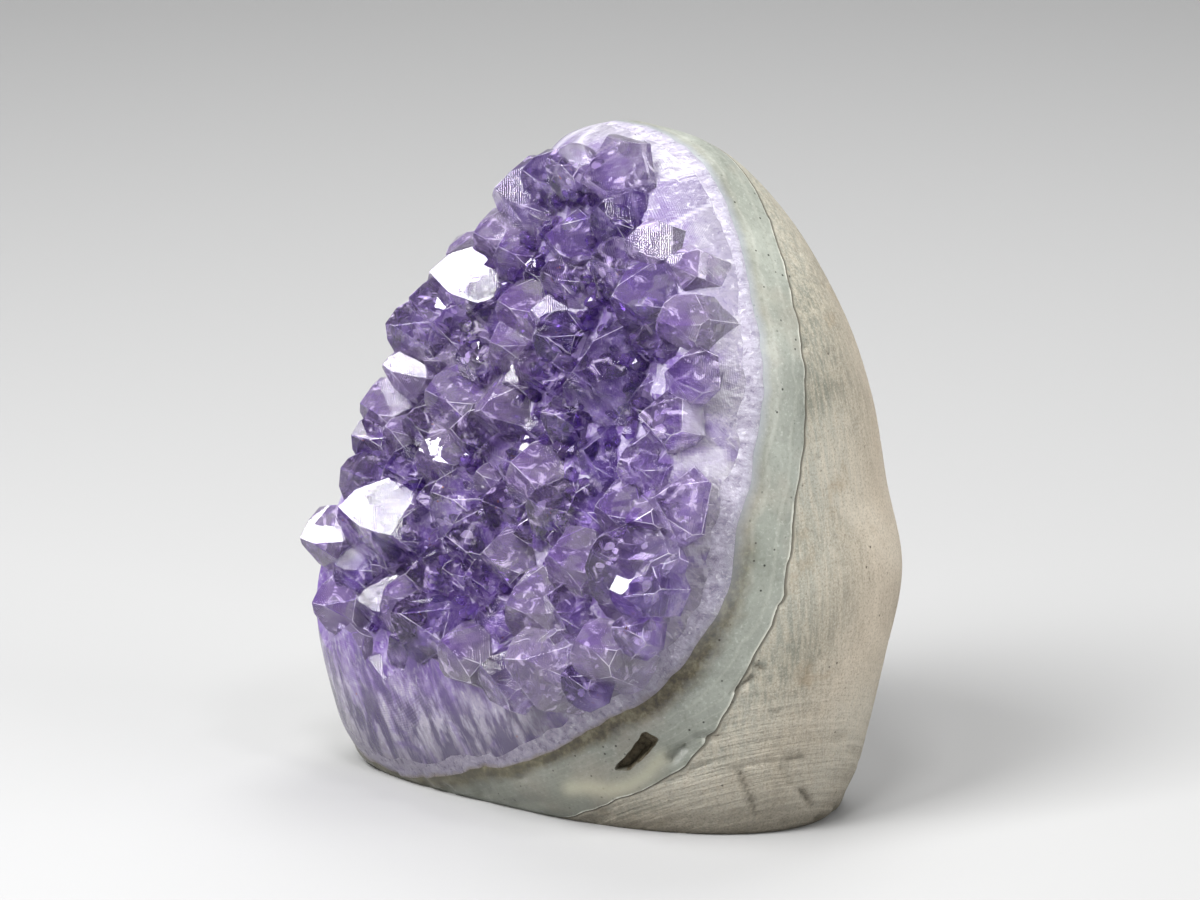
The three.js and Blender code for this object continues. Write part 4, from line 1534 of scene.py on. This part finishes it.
@dataclass
class GroundStone:
    """The whole ground stone, and the three layers cut from it."""

    view: ThreeQuarterView = field(default_factory=ThreeQuarterView)
    wall: CrystalWall = field(default_factory=CrystalWall)
    outline: StoneOutline = field(default_factory=StoneOutline)
    rock_edge: WallLayer = WallLayer(8.5, 12.5, 0.9, 41)
    root_edge: WallLayer = WallLayer(0.0, 0.0, 0.8, 51)
    root_front: WallLayer = WallLayer(-3.2, 0.0, 1.6, 61)
    bed_front: WallLayer = WallLayer(-12.2, 0.0, 2.0, 71)
    clear_back: WallLayer = WallLayer(-9.0)
    seam: float = 0.03
    crack: float = 0.12

    def whole(self) -> Obj:
        """The uncut stone with its grinding marks."""
        stone = self.outline.build("stone")
        facing = read(stone.data.vertices, "normal", 3)
        points = points_of(stone)
        marks = GroundMarks(self.view, self.wall)
        depth = marks.depth(points, facing)
        depth *= np.clip(points[:, 2] / 1.5, 0, 1)
        moved = points - facing * depth[:, None]
        moved[:, 2] = np.where(points[:, 2] < 0.01, 0.0, np.maximum(moved[:, 2], 0.0))
        put_points(stone, moved)
        return stone

    def store_depth(self, obj: Obj) -> None:
        """Stores how far each vertex lies behind the roots, and how far in front of the rock."""
        points = points_of(obj)
        x, y, z = points.T
        write_values(obj, "behind_wall", y - self.root_edge.at(self.wall, x, z))
        write_values(obj, "before_rock", self.rock_edge.at(self.wall, x, z) - y)
        marks = GroundMarks(self.view, self.wall)
        lines = [((a0, r0), (a1, r1)) for a0, r0, a1, r1, _, deep in marks.grooves if deep > 0.5]
        write_values(obj, "mark", np.max([marks.near_line(points, line, 0.4) for line in lines], axis=0))
        write_values(obj, "cream", marks.near_line(points, marks.cream_line, 1.5))
        inside = self.outline.outwardness(points) < 0.985
        write_values(obj, "hollow", inside * (marks.near_line(points, marks.slit_line, 3.4) > 0.3))

    def cut(self, obj: Obj, layer: WallLayer, keep: Keep) -> None:
        """Cuts a mesh along a layer of the wall and keeps one side."""
        front = WallSheet(self.wall).build("front", layer)
        boolean(obj, front, keep.value)
        discard(front)

    def basalt(self, stone: Obj) -> Obj:
        """The rock behind the agate."""
        rock = copy_of(stone, "basalt_ground")
        self.cut(rock, self.rock_edge.moved(self.crack), Keep.BACK)
        return rock

    def agate(self, stone: Obj) -> Obj:
        """The agate band with its pocket."""
        band = copy_of(stone, "agate_ground")
        self.cut(band, self.rock_edge, Keep.FRONT)
        self.cut(band, self.root_edge, Keep.BACK)
        slit = PocketSlit(self.view, self.outline).build("slit")
        boolean(band, slit, "DIFFERENCE")
        discard(slit)
        return band

    def roots(self, stone: Obj) -> Obj:
        """The milky quartz that the crystals stand in."""
        layer = copy_of(stone, "quartz_roots")
        self.cut(layer, self.root_edge.moved(-self.seam), Keep.FRONT)
        self.cut(layer, self.root_front, Keep.BACK)
        return layer

    def crystals(self, stone: Obj, garden: CrystalGarden, clarity: Clarity) -> Obj:
        """The crystals of one clarity, grown together and cut off at their roots.

        The cloudy ones grow out of a cloudy bed and hold all crystals that are ground off with the stone.
        The clear ones all stand clear, rooted a little way in the bed.

        Args:
            stone: The whole ground stone.
            garden: The crystals, set out.
            clarity: Which crystals.

        Returns:
            The joined crystals.
        """
        standing = [c for c, f in zip(garden.crystals, garden.free) if f and c.clarity is clarity]
        points = garden.joined(f"{clarity.value}_amethyst", standing)
        if clarity is Clarity.CLEAR:
            self.cut(points, self.clear_back, Keep.FRONT)
        else:
            cut_off = [c for c, f in zip(garden.crystals, garden.free) if not f]
            ground = garden.joined("ground_crystals", cut_off)
            bed = WallSheet(self.wall).build("bed", WallLayer())
            front = WallSheet(self.wall, step=2.5).build("front", self.bed_front)
            boolean(bed, front, "DIFFERENCE")
            boolean(ground, bed, "UNION")
            boolean(ground, stone, "INTERSECT")
            boolean(points, ground, "UNION")
            discard(front, bed, ground)
            self.cut(points, self.root_front.moved(-self.seam), Keep.FRONT)
        garden.mark(points)
        return points

    def druse(self, garden: CrystalGarden) -> Obj:
        """The small points that cover the floor of the valleys between the crystals."""
        host = WallSheet(self.wall).open_sheet(
            "druse_points", self.bed_front.offset + 0.8,
            lambda p: (self.outline.outwardness(p) < 0.86) & (p[:, 2] > 24),
        )
        point = Crystal(np.array([0, 0, 4.2]), np.array([0, 0, 1.0]), 2.3, 0.0, 5.0)
        point.cut_faces(random_from(5), 5.0, 0.2, 0.12, garden.point_angle)
        shape = mesh_object("druse_shape", *point.solid())
        finish = InclusionFinish("druse_quartz", (206, 176, 244), (140, 98, 214), 0.9, 0.04).make()
        Scatter(seed=12, least=0.4, most=1.0, stray=0.45, per_area=1.5e5).grow(host, shape, finish)
        discard(shape)
        return host

    def flakes(self, name: str, places: np.ndarray, scatter: Scatter, finish: InclusionFinish) -> Obj:
        """Thin flakes inside the clear crystals.

        Args:
            name: The piece's name.
            places: Where the flakes lie.
            scatter: How they are turned and scaled.
            finish: What they are made of.

        Returns:
            The flakes as one mesh.
        """
        host = mesh_object(name, places, [])
        around = 9
        random = random_from(scatter.seed)
        reach = [0.6 + 0.4 * random() for _ in range(around)]
        ring = [
            (r * math.cos(2 * math.pi * i / around), 0.7 * r * math.sin(2 * math.pi * i / around), 0.0)
            for i, r in enumerate(reach)
        ]
        points = np.array([*ring, (0.1, 0.0, 0.07), (-0.1, 0.0, -0.04)])
        faces = [(i, (i + 1) % around, around) for i in range(around)]
        faces += [((i + 1) % around, i, around + 1) for i in range(around)]
        shape = mesh_object(f"{name}_shape", points, faces)
        scatter.grow(host, shape, finish.make())
        discard(shape)
        return host

    def build(self, garden: CrystalGarden) -> list[Obj]:
        """Cuts every piece from the stone, dresses it and ties it to the frame.

        Args:
            garden: The crystals, set out.

        Returns:
            The pieces.
        """
        stone = self.whole()
        layers = (
            (self.basalt(stone), GroundBasalt(), Layer.BASALT),
            (self.agate(stone), GroundAgate(), Layer.AGATE),
            (self.roots(stone), MilkyQuartz(), Layer.QUARTZ),
        )
        finishes = {
            Clarity.CLEAR: AmethystFinish("clear_amethyst", 0.97, 37.0, (206, 170, 250), (226, 204, 252)),
            Clarity.CLOUDY: AmethystFinish("cloudy_amethyst", 0.82, 20.0, (178, 130, 242), (212, 184, 247)),
        }
        pieces = []
        for obj, finish, layer in layers:
            smooth(obj)
            pieces.append(self.dressed(obj, finish.make(), layer))
        for clarity, finish in finishes.items():
            pieces.append(self.dressed(self.crystals(stone, garden, clarity), finish.make(), Layer.QUARTZ))
        discard(stone)
        for piece in self.inclusions(garden):
            self.tie(piece, Layer.QUARTZ)
            pieces.append(piece)
        return pieces

    def inclusions(self, garden: CrystalGarden) -> list[Obj]:
        """Small points in the valleys, and veils and rust inside the crystals."""
        veil = InclusionFinish("white_veil", (250, 248, 255), (226, 214, 244), 0.45, 0.2)
        rust = InclusionFinish("rust_brown", (176, 104, 52), (120, 66, 34), 0.1, 0.4)
        return [
            self.druse(garden),
            self.flakes("inner_veils", garden.inner_places(3, 26, 10.0), Scatter(31, 0.5, 1.5, 1.2), veil),
            self.flakes("rust_flecks", garden.inner_places(4, 4, 5.0), Scatter(37, 0.2, 0.5, 1.2), rust),
        ]

    def dressed(self, obj: Obj, finish: bpy.types.Material, layer: Layer) -> Obj:
        """Gives a piece its finish and ties it to the frame.

        Args:
            obj: The piece.
            finish: Its material.
            layer: The stone's layer that it belongs to.

        Returns:
            The piece.
        """
        obj.data.materials.clear()
        obj.data.materials.append(finish)
        self.store_depth(obj)
        self.tie(obj, layer)
        return obj

    def tie(self, obj: Obj, layer: Layer) -> None:
        """Ties a piece to the frame and hides the solid that it stands for."""
        slot, node = layer.value
        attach(obj, "root")
        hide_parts(node)


@dataclass
class Studio:
    """A pale floor, soft lights and the camera."""

    focal: float = 158.8
    frame_width: float = 1200.0
    axis_column: float = 602.6
    pixels_per_reach: float = 5294.0
    # name, how far right, towards the camera and up in metres, size in metres, power in watts
    lamps: tuple[tuple, ...] = (
        ("key", -0.44, 0.4, 0.74, 0.42, 13.0),
        ("left_strip", -0.62, 0.3, 0.12, 0.12, 1.4),
        ("front_flash", -0.04, 0.46, 0.77, 0.16, 2.6),
        ("right_flash", 0.27, 0.39, 0.765, 0.1, 1.0),
        ("right_fill", 0.8, 0.45, 0.5, 0.5, 4.6),
        ("top_rim", 0.15, -0.35, 0.75, 0.35, 1.8),
        ("backdrop_wash", 0.0, -0.5, 1.3, 0.8, 16.0),
    )

    def floor(self) -> None:
        """A plain pale floor that curves up behind."""
        reach, back, top, radius, steps, half_width = 1.6, 1.1, 2.4, 0.5, 24, 2.4
        profile = [(-reach, 0.0), (back, 0.0)]
        for i in range(1, steps + 1):
            a = math.pi / 2 * i / steps
            profile.append((back + radius * math.sin(a), radius * (1 - math.cos(a))))
        profile.append((back + radius, top))
        side = ThreeQuarterView().right
        away = np.array([-side[1], side[0], 0])
        points = np.array(
            [away * d + side * w + [0, 0, h] for d, h in profile for w in (-half_width, half_width)]
        )
        faces = [(2 * i, 2 * i + 1, 2 * i + 3, 2 * i + 2) for i in range(len(profile) - 1)]
        floor = mesh_object("studio_floor", points / MM, faces)
        smooth(floor)
        sheet = NodeSheet("pale_paper")
        floor.data.materials.append(sheet.finish(Base_Color=(168, 168, 168), Roughness=0.85))

    def light(self, name: str, place: np.ndarray, size: float, power: float, aim: Sequence[float]) -> None:
        """A square soft light.

        Args:
            name: The light's name.
            place: Where it stands.
            size: Its width and height.
            power: Its power in watts.
            aim: What it looks at.
        """
        lamp = bpy.data.lights.new(name, "AREA")
        lamp.shape = "RECTANGLE"
        lamp.size = lamp.size_y = size
        lamp.energy = power
        obj = bpy.data.objects.new(name, lamp)
        obj.location = place
        obj.rotation_mode = "QUATERNION"
        obj.rotation_quaternion = (Vector(aim) - Vector(place)).to_track_quat("-Z", "Y")
        bpy.context.scene.collection.objects.link(obj)

    def lights(self) -> None:
        """Large soft lights above left, right and behind, and a pale surround."""
        view = ThreeQuarterView()
        towards = view.back * [1, 1, 0]
        stone, backdrop = (0, 0, 0.06), towards * -1.7 + [0, 0, 0.5]
        for name, across, near, high, size, power in self.lamps:
            place = view.right * across + towards * near + [0, 0, high]
            self.light(name, place, size, power, backdrop if name == "backdrop_wash" else stone)
        world = bpy.data.worlds.new("studio")
        world.use_nodes = True
        surround = world.node_tree.nodes["Background"].inputs
        surround["Color"].default_value = (0.8, 0.82, 0.86, 1)
        surround["Strength"].default_value = 0.06
        bpy.context.scene.world = world

    def camera(self) -> None:
        """The camera at the three-quarter view."""
        view = ThreeQuarterView()
        lens = bpy.data.cameras.new("camera")
        lens.sensor_width = 36.0
        lens.lens = self.focal
        obj = bpy.data.objects.new("camera", lens)
        shift = (self.frame_width / 2 - self.axis_column) / self.pixels_per_reach * view.distance
        obj.location = (view.eye + view.right * shift) * MM
        obj.rotation_mode = "QUATERNION"
        obj.rotation_quaternion = Vector(-view.back).to_track_quat("-Z", "Y")
        bpy.context.scene.collection.objects.link(obj)
        bpy.context.scene.camera = obj

    def build(self) -> None:
        """Sets up the studio."""
        self.camera()
        self.floor()
        self.lights()
        scene = bpy.context.scene
        scene.view_settings.view_transform = "Standard"
        scene.cycles.use_denoising = True
        scene.cycles.max_bounces = 16
        scene.cycles.transmission_bounces = 16
        scene.cycles.caustics_refractive = True
        scene.cycles.caustics_reflective = False


def main() -> None:
    """Builds the cluster and the studio."""
    logging.basicConfig(level=logging.INFO, format="%(name)s: %(message)s")
    Studio().build()
    stone = GroundStone()
    garden = CrystalGarden(stone.view, stone.wall, stone.outline)
    garden.set_out()
    log.info("crystals %d, standing clear %d", len(garden.crystals), sum(garden.free))
    for piece in stone.build(garden):
        log.info("%s: %d faces", piece.name, len(piece.data.polygons))
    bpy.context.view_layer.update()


if __name__ == "__main__":
    main()
